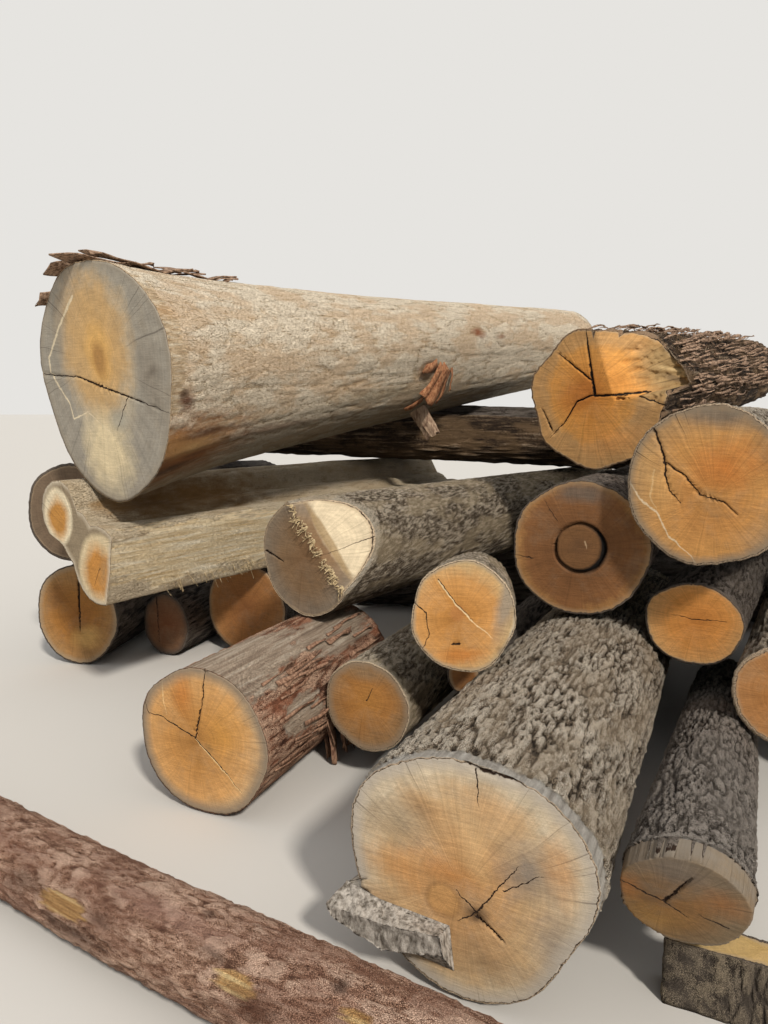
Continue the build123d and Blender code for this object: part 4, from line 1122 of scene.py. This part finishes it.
bmesh.ops.subdivide_edges(bm, edges=sides, cuts=16)
bmesh.ops.transform(bm, matrix=Matrix.Translation((0, 0, -stub["long"] / 2)), verts=bm.verts)
turned = stubWay.to_track_quat("Z", "Y").to_matrix().to_4x4()
for v in bm.verts:
    x, y, z = v.co
    groove = noise.noise(Vector((x * 60, y * 60, z * 6))) * stub["groove"]
    groove += noise.noise(v.co * 45) * stub["groove"] / 3
    v.co += Vector((x, y, 0)).normalized() * groove
    if z > -0.001:
        v.co.z -= stub["splinter"] * abs(noise.noise(Vector((x * 70, y * 70, 2)))) * 2
    v.co = Vector((v.co.x * stub["flat"][0], v.co.y * stub["flat"][1], v.co.z))
bmesh.ops.transform(bm, matrix=Matrix.Translation(stubTip) @ turned, verts=bm.verts)
bmesh.ops.triangulate(bm, faces=[f for f in bm.faces if len(f.verts) > 4])
bmesh.ops.recalc_face_normals(bm, faces=bm.faces)
stubWood = shredMaterial("torn branch wood", "6a5140", "b49a80", (50, 50, 14))
triangles += settle(finishMesh(bm, "crown_stub"), "crown_log", [stubWood])

# the spur in front of the front log's face, cut off its CAD node at the face
spur = {"edge": 0.012, "torn": 0.004, "inset": 0.003, "keep": 0.002, "cutAhead": 0.0005}
front = found["front_log"]
bm = bmesh.new()
bm.from_mesh(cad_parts["front_log"].data)
bmesh.ops.remove_doubles(bm, verts=bm.verts, dist=mergeWithin)
bmesh.ops.bisect_plane(bm, geom=list(bm.verts) + list(bm.edges) + list(bm.faces),
                       plane_co=front["origin"] - front["along"] * spur["cutAhead"],
                       plane_no=-front["along"], clear_inner=True)
bmesh.ops.holes_fill(bm, edges=[e for e in bm.edges if e.is_boundary], sides=0)
bmesh.ops.triangulate(bm, faces=bm.faces)
for _ in range(5):
    long = [e for e in bm.edges if e.calc_length() > spur["edge"]]
    if long:
        bmesh.ops.subdivide_edges(bm, edges=long, cuts=1)
        bmesh.ops.triangulate(bm, faces=[f for f in bm.faces if len(f.verts) > 3])
bm.normal_update()
for v in bm.verts:
    ahead = (front["origin"] - v.co).dot(front["along"])
    torn = noise.noise(v.co * 30) + noise.noise(Vector((v.co.x * 90, v.co.y * 25, v.co.z * 90)))
    if ahead >= spur["keep"]:
        v.co += v.normal * (torn * spur["torn"] - spur["inset"])
for f in bm.faces:
    f.smooth = True
bmesh.ops.recalc_face_normals(bm, faces=bm.faces)
greyShred = shredMaterial("torn grey wood", "5d554b", "b5aca0", (70, 70, 25))
triangles += settle(finishMesh(bm, "front_spur"), "front_log", [greyShred])
print("all made:", triangles, "triangles")

# floor, light and camera

room = {
    "floorTone": tone("c9c4bc"),
    "backTone": tone("e6e4e0"),
    "sunTurn": 24.0,
    "sunHeight": 40.0,
    "sunPower": 3.0,
    "sunWidth": 6,
    "sunTone": (1.0, 0.96, 0.90),
    "skyPower": 0.70,
    "skyTone": (0.95, 0.97, 1.0, 1),
    "floorHalf": 60,
    "floorRoughness": 0.95,
}

bm = bmesh.new()
bmesh.ops.create_grid(bm, x_segments=2, y_segments=2, size=room["floorHalf"])
floor = finishMesh(bm, "floor")
floorMaterial, _, floorShader = newMaterial("pale floor")
floorShader.inputs["Base Color"].default_value = room["floorTone"]
floorShader.inputs["Roughness"].default_value = room["floorRoughness"]
floor.data.materials.append(floorMaterial)

world = bpy.data.worlds.new("studio")
bpy.context.scene.world = world
world.use_nodes = True
worldTree = world.node_tree
worldTree.nodes.clear()
sky = put(worldTree, "Background", None, {"Color": room["skyTone"], "Strength": room["skyPower"]})
back = put(worldTree, "Background", None, {"Color": room["backTone"], "Strength": 1.0})
seen = put(worldTree, "LightPath")
seenEither = maths(worldTree, "MAXIMUM", seen.outputs["Is Camera Ray"], seen.outputs["Is Glossy Ray"])
skyMix = put(worldTree, "MixShader", None, {0: seenEither, 1: sky.outputs[0], 2: back.outputs[0]})
put(worldTree, "OutputWorld", None, {0: skyMix.outputs[0]})

lamp = bpy.data.lights.new("key lamp", "SUN")
lamp.energy = room["sunPower"]
lamp.angle = math.radians(room["sunWidth"])
lamp.color = room["sunTone"]
key = bpy.data.objects.new("key lamp", lamp)
key.rotation_euler = (math.radians(90 - room["sunHeight"]), 0, math.radians(room["sunTurn"]))
bpy.context.scene.collection.objects.link(key)

cameraData = bpy.data.cameras.new("camera")
cameraData.sensor_fit = "AUTO"
cameraData.sensor_width = eye["sensor"]
cameraData.lens = eye["lens"]
camera = bpy.data.objects.new("camera", cameraData)
camera.location = eye["spot"]
camera.rotation_euler = (math.radians(90 - eye["pitchDown"]), 0, 0)
bpy.context.scene.collection.objects.link(camera)
bpy.context.scene.camera = camera
bpy.context.scene.view_settings.view_transform = "Standard"
print("floor, light and camera placed")
